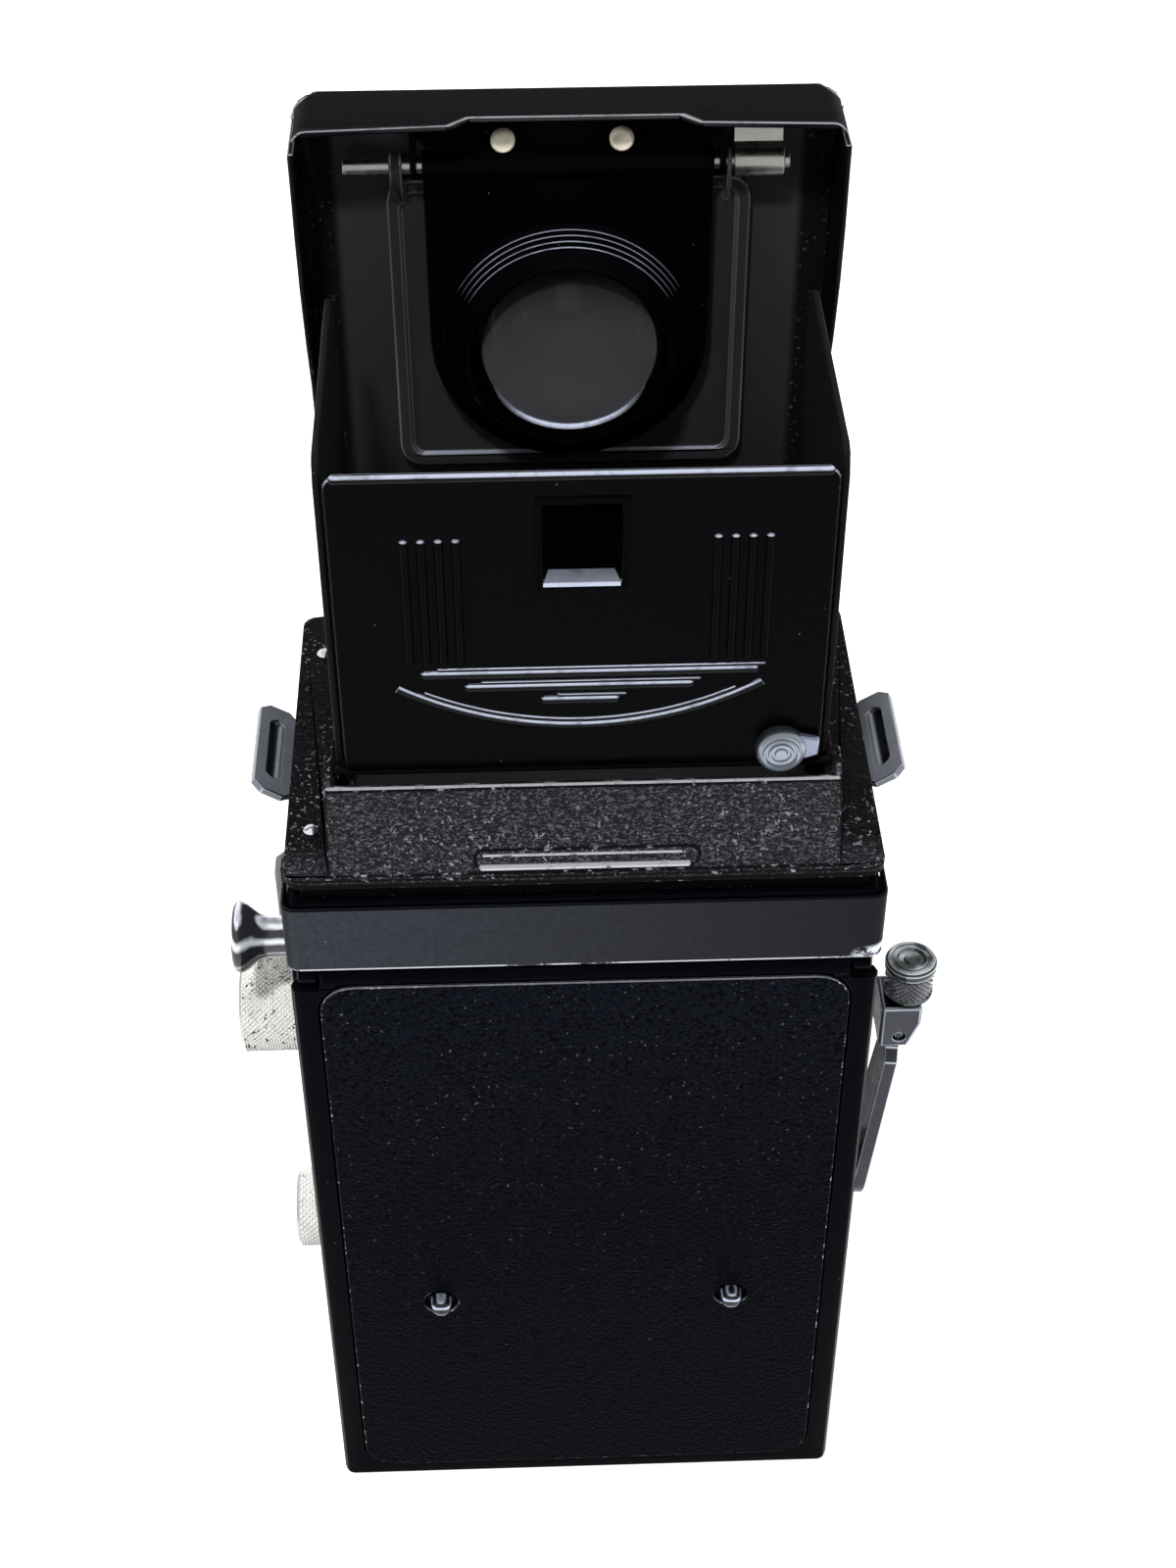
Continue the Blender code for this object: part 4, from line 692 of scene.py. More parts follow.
def strip_paint(name):
    """The smooth strip: painted lighter towards one end as light falls on it, mottled, and rubbed bright at
    one lower corner.
    """
    tree, shader = blank_finish(name, Specular_IOR_Level=0.02)
    low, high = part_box("hinge_cover_strip")
    place = axes(tree)
    base = finishes().strip
    # Painted light: the strip grows lighter from one end to the other.
    along = remap(tree, place["X"], low.x, high.x)
    shade = mixed(tree, along, tint(base, 0.42), tint(base, 1.5))
    sideways = remap(tree, math_node(tree, "ABSOLUTE", axes(tree, "Normal")["X"]), 0.35, 0.8)
    shade = mixed(tree, sideways, shade, finishes().satin)
    mottle = effect(tree, "fine_lines", Scale=1400.0, Length=1.0)
    shade = mixed(tree, remap(tree, mottle, 0.35, 0.7, 0.0, 0.4), shade, tint(base, 0.4))
    dust = effect(tree, "dust_specks", Scale=520.0, Size=0.06, Share=0.12)
    shade = mixed(tree, dust, shade, (0.4, 0.42, 0.46))
    near_end = remap(tree, place["X"], low.x + 0.6 * MM, low.x + 5.0 * MM, 1.0, 0.0)
    near_foot = remap(tree, place["Z"], low.z + 0.6 * MM, low.z + 2.6 * MM, 1.0, 0.0)
    patch = effect(tree, "rubbed_metal", Cover=0.62, Scale=520.0)
    spot = times(tree, remap(tree, times(tree, near_end, near_foot), 0.12, 0.4), patch)
    shade = mixed(tree, spot, shade, (0.6, 0.63, 0.7))
    coat(tree, shader, Base_Color=shade, Metallic=times(tree, spot, 0.8), Roughness=smudged(tree, 0.36, 0.52))
    bumped(tree, smudged(tree, 0.0, 1.0, 420.0), 0.006, shader)


def strip_edge(name):
    """The strip's edges: bare along the foot, and paint elsewhere."""
    tree, shader = blank_finish(name, Specular_IOR_Level=0.05)
    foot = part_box("hinge_cover_strip")[0].z
    lowest = remap(tree, axes(tree)["Z"], foot + 0.3 * MM, foot + 0.6 * MM, 0.85, 0.0)
    bare = times(tree, lowest, effect(tree, "rubbed_metal", Cover=0.8, Scale=300.0))
    shade = mixed(tree, bare, finishes().satin, finishes().painted_highlight)
    coat(tree, shader, Base_Color=shade, Metallic=bare, Roughness=remap(tree, bare, 0.0, 1.0, 0.4, 0.25))


def lid_paint(name):
    """The lid: gloss outside with a painted sheen on its lip and a painted highlight on its upper faces, matt
    grey on the face towards the eye and painted lighter towards its top, and painted shade with painted
    glints inside its flanks.
    """
    tree, shader = blank_finish(name, Specular_IOR_Level=0.012)
    low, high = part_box("hood_lid")
    normal, place, matt = axes(tree, "Normal"), axes(tree), finishes().matt
    lip_start = high.y - 3.4 * MM
    lip = remap(tree, place["Y"], lip_start, lip_start + 1 * MM)
    inner = math_node(tree, "SUBTRACT", remap(tree, normal["Y"], 0.5, 0.8), lip, clamp=True)
    across = times(tree, normal["X"], math_node(tree, "SIGN", place["X"]))
    from_middle = math_node(tree, "ABSOLUTE", place["X"])
    # Painted shade: the inner flanks, and the border of the face beside them, are drawn nearly black.
    border = remap(tree, from_middle, high.x - 5.2 * MM, high.x - 4.2 * MM, 0.0, 0.9)
    painted_flank_shade = math_node(tree, "MAXIMUM", remap(tree, across, -0.5, -0.8), times(tree, border, inner))
    # Painted highlight on the upper faces, left off the lip's rounded corners.
    corners = remap(tree, from_middle, high.x - 3.4 * MM, high.x - 2.4 * MM, 1.0, 0.0)
    light = times(tree, times(tree, effect(tree, "painted_upper_highlight", Low=0.3, High=0.6), corners), 0.8)
    # Painted sheen: a soft light band in the middle of the lip.
    painted_sheen = times(tree, remap(tree, from_middle, *LID_PAINTED_SHEEN, 1.0, 0.1), lip)
    shade = mixed(tree, painted_sheen, finishes().enamel, (0.034, 0.038, 0.055))
    # Painted light: the matt face is lighter towards its top.
    inside = mixed(tree, remap(tree, place["Z"], low.z, high.z), tint(matt, 0.55), tint(matt, 1.7))
    shade = mixed(tree, painted_flank_shade, mixed(tree, inner, shade, inside), tint(matt, 0.1))
    # Painted glints in the shaded flanks.
    painted_flank_glints = times(tree, effect(tree, "glints", Scale=1500.0, Cover=0.36), painted_flank_shade)
    shade = mixed(tree, painted_flank_glints, shade, (0.07, 0.07, 0.08))
    shade = mixed(tree, light, shade, finishes().painted_highlight)
    coat(tree, shader, Base_Color=shade, Metallic=light, Roughness=remap(tree, inner, 0.0, 1.0, 0.2, 0.6))
    bumped(tree, smudged(tree, 0.0, 1.0, 500.0), 0.01, shader)


def leather(name):
    """Pebbled leather with dust, painted lighter towards its top as light falls on it, with painted shade in
    its creases and painted glints on its grains.
    """
    tree, shader = blank_finish(name, Specular_IOR_Level=0.009)
    grain = effect(tree, "pebble_grain", Pebble=sizes().pebble).node.outputs
    base, height = finishes().leather, axes(tree)["Z"]
    # Painted light: lighter towards the top.
    lit = mixed(tree, remap(tree, height, *LEATHER_PAINTED_LIGHT), base, tint(base, 2.4))
    # Painted shade in the creases between the pebbles.
    shade = mixed(tree, grain["CreaseShade"], lit, tint(base, 0.35))
    # Painted glints on the grains, stronger towards the top.
    painted_glint = effect(tree, "glints", Scale=1250.0, Cover=0.34, Patch=110.0)
    painted_glint = times(tree, painted_glint, remap(tree, height, *LEATHER_PAINTED_GLINTS, 0.04, 0.85))
    shade = mixed(tree, painted_glint, shade, (0.16, 0.16, 0.18))
    dust = effect(tree, "dust_specks", Scale=420.0, Size=0.05, Share=0.05)
    shade = mixed(tree, dust, shade, (0.3, 0.3, 0.33))
    coat(tree, shader, Base_Color=shade, Roughness=smudged(tree, 0.4, 0.44, 90.0))
    bumped(tree, grain["Height"], 0.12, shader)


def wrinkle_paint(name):
    """Crinkled paint with painted light and shade: crests lighter than hollows, level flanges darker than the
    walls, painted glints, and shade under the flange and in the well.
    """
    tree, shader = blank_finish(name, Specular_IOR_Level=0.025)
    grain = effect(tree, "wrinkles", Width=sizes().wrinkle).node.outputs
    place, base = axes(tree), finishes().wrinkle
    # Painted light and shade: level faces are darker than the walls, less so towards the rear rim.
    forward = remap(tree, place["Y"], *RIM_PAINTED_LIGHT, 1.0, 0.4)
    level = times(tree, remap(tree, axes(tree, "Normal")["Z"], 0.6, 0.95), forward)
    crest = mixed(tree, level, tint(base, 5.5), tint(base, 0.6))
    floor = mixed(tree, level, tint(base, 0.7), tint(base, 0.12))
    # Painted light and shade: crests lighter than the hollows.
    shade = mixed(tree, grain["Crest"], floor, crest)
    # Painted glints.
    painted_glint = times(tree, effect(tree, "glints", Scale=1900.0, Cover=0.37), 0.7)
    shade = mixed(tree, painted_glint, shade, (0.3, 0.3, 0.33))
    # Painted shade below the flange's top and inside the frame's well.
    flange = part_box("hinge_cover_strip")[1].z + 4.3 * MM
    painted_shade_under_flange = remap(tree, place["Z"], flange, flange + 0.5 * MM, 1.0, 0.0)
    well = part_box("hood_rear_panel")[1].x
    inside = remap(tree, math_node(tree, "ABSOLUTE", place["X"]), well, well + 0.1 * MM, 1.0, 0.0)
    inside = times(tree, inside, remap(tree, place["Y"], *WELL_PAINTED_SHADE_ENDS, 1.0, 0.0))
    shade = mixed(tree, math_node(tree, "MAXIMUM", painted_shade_under_flange, inside), shade, tint(base, 0.08))
    coat(tree, shader, Base_Color=shade, Roughness=smudged(tree, 0.4, 0.55, 80.0))
    bumped(tree, grain["Height"], 0.16, shader)


def plated(name, base, low, high, grain=0.004, painted_dark_reflection=0.0, soil=0.78, metallic=1.0):
    """Plated metal with fine scratches. The painted dark reflection darkens what faces the eye, as the
    reflection of a dark room would.
    """
    tree, shader = blank_finish(name, Metallic=metallic)
    shade = mixed(tree, smudged(tree, 0.0, 1.0, 140.0), base, tint(base, soil))
    if painted_dark_reflection:
        facing = put(tree, "LayerWeight", Blend=0.5).outputs["Facing"]
        shade = mixed(tree, remap(tree, facing, 0.12, 0.62, painted_dark_reflection, 0.0), shade, tint(base, 0.04))
    coat(tree, shader, Base_Color=shade, Roughness=smudged(tree, low, high, 300.0))
    bumped(tree, effect(tree, "fine_lines", Scale=5200.0, Length=0.3), grain, shader)


def banded(name, bright, dark, metallic=0.35):
    """Polished turned metal with painted reflections in bands: the lights on its sides and the dark between
    them, by which way each face turns.
    """
    tree, shader = blank_finish(name, Metallic=metallic)
    drift = remap(tree, noise(tree, coordinates(tree), 260.0, rough=0.5), 0.3, 0.7, -0.06, 0.06)
    rise = math_node(tree, "ADD", axes(tree, "Normal")["Z"], drift)
    light = 0.0
    bands = ((0.93, 0.02, 0.09, 0.8), (0.42, 0.04, 0.18, 1.0), (-0.25, 0.02, 0.12, 0.35))
    for centre, near, far, level in bands:
        distance = math_node(tree, "ABSOLUTE", math_node(tree, "SUBTRACT", rise, centre))
        light = math_node(tree, "MAXIMUM", remap(tree, distance, near, far, level, 0.0), light)
    shade = mixed(tree, light, dark, bright)
    coat(tree, shader, Base_Color=shade, Roughness=smudged(tree, 0.1, 0.2, 300.0))
    bumped(tree, effect(tree, "fine_lines", Scale=5200.0, Length=0.3), 0.003, shader)


def moulded(name, base, roughness, specular=0.4, dust=(0.2, 0.2, 0.2)):
    """Moulded or cast material, soiled in patches and dusty."""
    tree, shader = blank_finish(name, Specular_IOR_Level=specular)
    specks = effect(tree, "dust_specks", Scale=500.0)
    shade = mixed(tree, smudged(tree, 0.0, 0.7, 380.0), base, tint(base, 0.82))
    rough = smudged(tree, roughness, roughness + 0.15, 120.0)
    coat(tree, shader, Base_Color=mixed(tree, specks, shade, dust), Roughness=rough)
    bumped(tree, smudged(tree, 0.0, 1.0, 1800.0), 0.01, shader)


def clear_glass(name, base):
    """A lens over a near surface: its own faint grey over what lies behind it, with dust, and painted light
    that leaves it darker towards its top and lighter towards its bottom.
    """
    tree, shader = blank_finish(name, IOR=1.5, Alpha=0.6, Specular_IOR_Level=0.12)
    dust = effect(tree, "dust_specks", Scale=200.0, Size=0.04, Share=0.2)
    low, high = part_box("magnifier_lens")
    # Painted light: darker towards the top, lighter towards the bottom.
    upper = remap(tree, axes(tree)["Z"], low.z + 3 * MM, high.z - 2 * MM)
    shade = mixed(tree, upper, tint(base, 1.8), tint(base, 0.3))
    soft = noise(tree, coordinates(tree), 70.0, 1.0, 0.4)
    shade = mixed(tree, remap(tree, soft, 0.4, 0.6, 0.0, 0.3), shade, tint(base, 0.4))
    shade = mixed(tree, dust, shade, (0.7, 0.7, 0.7))
    coat(tree, shader, Base_Color=shade, Roughness=smudged(tree, 0.05, 0.1, 40.0))


def ground_glass(name, base):
    tree, shader = blank_finish(name, IOR=1.5, Transmission_Weight=1.0)
    dust = effect(tree, "dust_specks", Scale=240.0, Size=0.07, Share=0.12)
    shade = mixed(tree, dust, base, (0.8, 0.8, 0.8))
    coat(tree, shader, Base_Color=shade, Roughness=smudged(tree, 0.35, 0.38, 50.0))


def coated_glass(name, base):
    """A deep lens with a violet coating over a dark inside."""
    tree, shader = blank_finish(name, IOR=1.5, Coat_Weight=1.0, Coat_Roughness=0.02, Roughness=0.03)
    facing = put(tree, "LayerWeight", Blend=0.4).outputs["Facing"]
    blush = remap(tree, noise(tree, coordinates(tree), 55.0, rough=0.5), 0.45, 0.6, 0.0, 0.5)
    shade = mixed(tree, blush, mixed(tree, facing, base, (0.06, 0.03, 0.12)), (0.02, 0.04, 0.09))
    dust = effect(tree, "dust_specks", Scale=260.0)
    coat(tree, shader, Base_Color=mixed(tree, dust, shade, (0.5, 0.5, 0.5)))


def build_finishes():
    """Every finish once, under the name that the pieces ask for."""
    f = finishes()
    # The gloss enamel, the bead, the ring's enamel and the matt edge carry a painted highlight on their upper
    # faces. The matt edge is also painted three times lighter than the matt paint, as a highlight on the
    # flap's ridges.
    painted("gloss_enamel", f.enamel, 0.16, 0.26, 0.02, 0.9)
    painted("bead_with_painted_highlight", f.enamel, 0.12, 0.2, 0.1, 1.0)
    painted("ring_enamel", f.enamel, 0.14, 0.22, 0.02, 0.5, 0.3)
    painted("plain_enamel", f.enamel, 0.16, 0.26, 0.012)
    painted("satin_paint", f.satin, 0.34, 0.5, 0.009)
    painted("side_panel_paint", tint(f.matt, 0.3), 0.4, 0.55, 0.02)
    painted("matt_paint", f.matt, 0.55, 0.7, 0.03)
    painted("matt_edge", tint(f.matt, 3), 0.4, 0.5, 0.1, 0.4)
    painted("flat_black", tint(f.matt, 0.12), 0.55, 0.7, 0.03)
    # The worn enamel, the frame's edge and the leather's edge also show a painted highlight as bare metal on
    # their upper faces. The frame's edge is painted lighter as well.
    rubbed("worn_enamel_with_painted_highlight", f.enamel, 0.3, 340.0, 0.2, 0.1, 0.8)
    rubbed("worn_satin_paint", f.satin, 0.2, 420.0, 0.3, 0.03)
    rubbed("worn_wrinkle_paint", tint(f.wrinkle, 0.3), 0.4, 600.0, 0.4, 0.02)
    rubbed("worn_frame_edge_with_painted_highlight", tint(f.wrinkle, 2), 0.66, 380.0, 0.3, 0.1, 0.7)
    rubbed("bare_strip_edge", f.strip, 0.7, 160.0, 0.25, 0.05)
    rubbed("leather_edge", f.leather, 0.42, 900.0, 0.5, 0.05, 0.4)
    strip_paint("strip_paint")
    strip_edge("worn_strip_edge")
    wrinkle_paint("wrinkle_paint")
    lid_paint("lid_paint")
    leather("pebbled_leather")
    plated("bright_chrome", f.chrome, 0.07, 0.16, painted_dark_reflection=0.75, soil=0.5)
    plated("silver_rod", (0.5, 0.485, 0.46), 0.24, 0.36, painted_dark_reflection=0.3)
    plated("polished_ring", f.chrome, 0.1, 0.2, painted_dark_reflection=0.55)
    plated("lug_chrome", tint(f.dull, 1.25), 0.26, 0.38, metallic=0.3)
    plated("yoke_plate", tint(f.dull, 0.42), 0.24, 0.36, painted_dark_reflection=0.25)
    plated("grip_knurls", tint(f.chrome, 0.4), 0.2, 0.3, painted_dark_reflection=0.6, metallic=0.7)
    plated("dark_plate", tint(f.dull, 0.4), 0.24, 0.36, painted_dark_reflection=0.3)
    plated("bright_screws", (0.8, 0.82, 0.86), 0.12, 0.2)
    # Painted highlight: the dull chrome's edges on the lugs and the crank are painted brighter than its
    # faces.
    plated("dull_chrome_edge", tint(f.dull, 2.6), 0.16, 0.28)
    # Painted highlight: the peephole's ledge is a bright share of the highlight colour.
    plated("peephole_ledge", tint(f.painted_highlight, 0.62), 0.2, 0.3)
    plated("latch_aluminium", (0.42, 0.46, 0.53), 0.26, 0.38, 0.01, 0.45)
    plated("catch_wing", (0.3, 0.34, 0.44), 0.16, 0.3, painted_dark_reflection=0.3, metallic=0.8)
    plated("satin_chrome_plate", f.plate, 0.3, 0.42, 0.01)
    plated("pale_aluminium", f.aluminium, 0.36, 0.5, 0.01)
    # The lugs' shade leaf: a dark plate that stands for the shade in the slot.
    plated("shade_leaf", (0.13, 0.135, 0.165), 0.3, 0.42, painted_dark_reflection=0.4)
    plated("yellow_brass", f.brass, 0.26, 0.4)
    plated("bright_steel", (0.4, 0.4, 0.41), 0.2, 0.35)
    plated("silvered_mirror", (0.85, 0.86, 0.87), 0.02, 0.05, 0.0005)
    banded("turned_chrome", (0.9, 0.93, 1.0), (0.03, 0.032, 0.038))
    banded("grip_chrome", (0.55, 0.6, 0.64), (0.035, 0.04, 0.04), 0.6)
    banded("polished_stud", (0.5, 0.56, 0.7), (0.012, 0.013, 0.018), 0.6)
    moulded("pale_knurls", tint(f.aluminium, 1.45), 0.5, 0.2, (0.8, 0.79, 0.76))
    moulded("cream_rivets", f.cream, 0.4)
    moulded("moulded_spool", (0.02, 0.02, 0.022), 0.4)
    moulded("white_figures", (0.7, 0.7, 0.68), 0.5)
    clear_glass("magnifier_glass", (0.095, 0.095, 0.105))
    ground_glass("ground_glass", (0.05, 0.052, 0.05))
    coated_glass("coated_lens", (0.006, 0.006, 0.01))


# ---------------------------------------------------------------- pieces


class BuildBody(bpy.types.Operator):
    """Finish the casting, the hinge cover strip and the fittings in the body's walls"""

    bl_idname = "reflex.body"
    bl_label = "Body"

    def execute(self, context):
        dressed("body_casting", "black_paint", "satin_paint", "worn_satin_paint")
        dressed("hinge_cover_strip", "black_paint", "strip_paint", "worn_strip_edge")
        low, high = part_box("hinge_cover_strip")
        foot = Vector((0, high.y, low.z)) + mm(0, -0.22, 0.22)
        half = (high.x - 1.6 * MM) * X
        line = rib(foot + half, foot - half, 0.26, steps=12)
        added(line, "strip_bare_edge", "hinge_cover_strip", "black_paint", "bare_strip_edge")
        dressed("crank_side_plate", "satin_chrome", "satin_chrome_plate")
        places = four_places(tip("crank_side_plate", -X), mm(0, 10.2, 0), mm(0, 0, 32.5))
        screws("side_plate_screw", "crank_side_plate", places, -X, 1.4, 0.7)
        low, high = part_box("take_up_gear")
        low.x = high.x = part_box("body_casting")[0].x
        cover = block(low + mm(0, 16, -1), high + mm(0.3, 1.4, 1))
        added(cover, "gear_pocket_cover", "body_casting", "black_paint", "satin_paint")
        self.ring_the_knob()
        self.fit_the_apron()
        return {"FINISHED"}

    def ring_the_knob(self):
        """The bush that stands on the wall round the upper knob's shaft."""
        centre = middle("upper_spool_knob")
        centre.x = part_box("side_cover_left")[1].x - 0.4 * MM
        profile = [(3.3, 1.0), (4.3, 1.0), (4.7, 0.6), (4.7, 0), (3.3, 0), (3.3, 1.0)]
        bush = turned(profile, X, 56, centre)
        added(bush, "upper_knob_bush", "body_casting", "chrome", "polished_ring", 0.1 * MM)

    def fit_the_apron(self):
        """The release bush and the flash terminal in the fixed lower front, and the apron's screws."""
        bush = [(3.0, 0), (4.0, -0.8), (4.0, -1.5), (3.1, -1.5), (3.1, -4.9), (1.9, -4.9), (1.9, 0), (3.0, 0)]
        lathe("chrome", "bright_chrome", bush, -Y, "release_bush", steps=56, edge=0.08 * MM)
        button = [
            (0, -0.35), (0.7, -0.35), (1.2, -0.1), (2.2, 0), (3.0, -0.3), (3.4, -0.9), (3.4, -1.7),
            (2.9, -1.9), (1.6, -1.9), (1.6, -10.1), (0, -10.1),
        ]
        lathe("chrome", "bright_chrome", button, -Y, "release_button", steps=56)
        terminal = [
            (0, -3.2), (1.0, -3.2), (1.0, -0.4), (1.5, 0), (2.6, 0), (2.8, -0.5), (2.6, -0.8), (2.9, -1.2),
            (2.9, -1.5), (4.0, -1.6), (4.0, -4.95), (0, -4.95),
        ]
        lathe("chrome", "bright_chrome", terminal, -Y, "flash_terminal", steps=56)
        screws("apron_screw", "front_apron", front_corners("front_apron", 3.5), -Y, 1.1, 0.9)


class BuildDoor(bpy.types.Operator):
    """Finish the hinged back with its base, lock ring and feet"""

    bl_idname = "reflex.door"
    bl_label = "Back"

    def execute(self, context):
        dressed("door_shell", "black_paint", "satin_paint", "worn_satin_paint")
        dressed("door_lock_ring", "satin_chrome", "satin_chrome_plate")
        dressed("door_hinge_pin", "steel", "flat_black")
        dressed("pressure_plate", "matte_black", "flat_black")
        foot = [
            (0, 0), (0.4, -0.02), (0.8, -0.12), (1.15, -0.35), (1.4, -0.7), (1.5, -1.1), (1.55, -2.45),
            (0, -2.45),
        ]
        lathe("chrome", "polished_stud", foot, Y, "door_foot_left", "door_foot_right", steps=48)
        centre = middle("door_lock_ring")
        centre.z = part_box("door_shell")[0].z + 2.0 * MM
        screws("base_screw", "door_shell", four_places(centre, mm(27, 0, 0), mm(0, 10.5, 0)), -Z, 1.5, 0.8)
        return {"FINISHED"}


class BuildLeather(bpy.types.Operator):
    """Cover the body with pebbled leather"""

    bl_idname = "reflex.leather"
    bl_label = "Leather"

    def execute(self, context):
        for node in ("door_leather", "side_cover_left", "side_cover_right", "front_apron", "front_leather"):
            dressed(node, "leather", "pebbled_leather", "leather_edge", 0.18 * MM)
        return {"FINISHED"}


class BuildHood(bpy.types.Operator):
    """Finish the hood's frame, its side panels, the screen and the mirror"""

    bl_idname = "reflex.hood"
    bl_label = "Hood"

    def execute(self, context):
        dressed("hood_frame", "wrinkle_black", "wrinkle_paint", "worn_wrinkle_paint")
        low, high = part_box("hood_frame")
        rear = Vector((0, high.y, high.z))
        wall, half = rear - mm(0, 6.6, 3.85), (high.x - low.x) / 2 * X - mm(5.7, 0, 0)
        ridge, step = rear - mm(0, 1.05, 12.3), mm(0, -0.75, 1.3)
        # Rods along the frame's rear wall top and its ribs, worn, with a painted highlight on their upper
        # faces.
        edges = [
            rib(wall - half, wall + half, 0.42, 20),
            rib(ridge - mm(13.2, 0, 0), ridge + mm(13.2, 0, 0), 0.55, 20),
            rib(ridge + step - mm(12.2, 0, 0), ridge + step + mm(12.8, 0, 0), 0.3, 16),
        ]
        added(joined(edges), "frame_edges_worn_with_painted_highlight", "hood_frame", "wrinkle_black", "worn_frame_edge_with_painted_highlight")
        flange = Vector((high.x, 0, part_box("hinge_cover_strip")[1].z))
        places = [flange + mm(-3.2, y, 4.95) for y in (17.6, -18.3)]
        screws("flange_screw", "hood_frame", places, Z, 1.0, 1.0, 0.5, 0.6, "bright_screws")
        dressed("hood_side_left", "black_paint", "side_panel_paint")
        dressed("hood_side_right", "black_paint", "side_panel_paint")
        dressed("focusing_screen", "screen_glass", "ground_glass")
        dressed("reflex_mirror", "mirror", "silvered_mirror")
        return {"FINISHED"}


class BuildRearPanel(bpy.types.Operator):
    """Make the hood's rear panel: its sheet, bead, flutes, bars, bowed ribs and peephole, and its catch"""

    bl_idname = "reflex.rear_panel"
    bl_label = "Rear panel"

    def execute(self, context):
        low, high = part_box("hood_rear_panel")
        self.hinge = Vector(((low.x + high.x) / 2, low.y, low.z)) + mm(0, 0.65, 0.5)
        sheet = block(self.at(-29.2, -0.4, -0.5), self.at(29.2, 0.4, 43.4))
        bevel_edges(sheet, lambda first, last: abs(first.y - last.y) > 0.1 * MM, 1.6 * MM)
        self.pierce(sheet)
        axle = turned([(0, 31.6), (0.45, 31.6), (0.45, -31.6), (0, -31.6)], X, 20, self.hinge)
        paint(sheet, "gloss_enamel", "worn_enamel_with_painted_highlight")
        round_edges(sheet, 0.2 * MM, material=1)
        hand_over(sheet, "rear_panel_sheet", "hood_rear_panel")
        self.fix(axle, "rear_panel_axle", "flat_black")
        self.press_ribs()
        self.frame_the_peephole()
        self.make_catch()
        return {"FINISHED"}

    def at(self, x, y, z):
        """A point in millimetres from the middle of the hinge."""
        return self.hinge + mm(x, y, z)

    def pierce(self, plate):
        """Cuts the peephole."""
        combine(plate, "DIFFERENCE", block(self.at(-4.6, -2, 28.3), self.at(4.6, 2, 39.4)))

    def fix(self, piece, name, finish="bead_with_painted_highlight", **edges):
        added(piece, name, "hood_rear_panel", "gloss_black", finish, **edges)

    def press_ribs(self):
        """The rolled top edge and the pressed ribs, standing half their thickness out of the sheet."""
        self.fix(rib(self.at(-28.5, 0, 43.0), self.at(28.5, 0, 43.0), 0.62, 32), "rear_panel_bead")
        flute = rib(self.at(0, 0.38, 16.6), self.at(0, 0.38, 34.9), 0.55)
        flutes = []
        for column in (-21.6, -19.6, -17.6, -15.6, 14.5, 16.5, 18.5, 20.5):
            flutes.append(copy_of(flute))
            flutes[-1].location.x = column * MM
            settle(flutes[-1])
        bpy.data.objects.remove(flute)
        self.fix(joined(flutes), "rear_panel_flutes", "gloss_enamel")
        bars = []
        for rise, start, end in ((15.1, -21.1, 19.4), (13.05, -13.4, 14.2), (10.95, -4.5, 5.1)):
            bars.append(rib(self.at(start, 0.3, rise), self.at(end, 0.3, rise), 0.62, 24))
            rise += 0.72
            bars.append(rib(self.at(start - 0.8, 0.4, rise), self.at(end - 2, 0.4, rise), 0.26, 16))
        self.fix(joined(bars), "rear_panel_bars")
        centre, spread = self.at(0.3, 0.32, 49.2), radians(31.3)
        bows = [bowed_rod(centre, 41.4, spread * 0.86, 0.32), bowed_rod(centre, 42.2, spread, 0.6)]
        self.fix(joined(bows), "rear_panel_bow")

    def frame_the_peephole(self):
        rim = block(self.at(-5.5, 0.3, 27.5), self.at(5.5, 0.7, 40.4))
        self.pierce(rim)
        self.fix(rim, "peephole_rim", "plain_enamel", edge=0.2 * MM, segments=3)
        # The ledge is drawn bright, a painted highlight in a share of the highlight colour.
        ledge = block(self.at(-4.45, -1.8, 28.1), self.at(4.6, 0.9, 28.75))
        open_where(ledge, lambda place: place.y < self.hinge.y - 1 * MM)
        bpy.ops.transform.resize(value=(0.86, 1, 1), center_override=self.at(-0.1, 0, 28))
        close_mesh()
        added(ledge, "peephole_ledge", "hood_rear_panel", "chrome", "peephole_ledge", 0.08 * MM)

    def make_catch(self):
        """The round catch, turned in fine rings, with a thumb wing on its outer side."""
        centre = tip("hood_latch", Y)
        centre.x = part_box("hood_latch")[1].x - 3.1 * MM
        profile = [
            (0, -0.1), (0.7, -0.06), (0.85, -0.3), (1.1, -0.3), (1.25, -0.05), (1.5, -0.02), (1.62, -0.28),
            (1.85, -0.28), (1.98, 0), (2.2, -0.08), (2.32, -0.34), (2.5, -0.36), (2.62, -0.15), (2.9, -0.35),
            (3.1, -0.75), (3.1, -2.0), (0, -2.0),
        ]
        lathe("aluminium", "latch_aluminium", profile, Y, "hood_latch", shift=centre - tip("hood_latch", Y))
        wing = block(centre + mm(-4.7, -1.95, -2.3), centre + mm(-0.5, -0.8, 2.6))
        open_where(wing, lambda place: place.x < centre.x - 4 * MM)
        bpy.ops.transform.resize(value=(1, 0.8, 0.5), center_override=centre + mm(0, -1.95, 0.3))
        close_mesh()
        added(wing, "catch_wing", "hood_latch", "aluminium", "catch_wing", 0.3 * MM, 3)


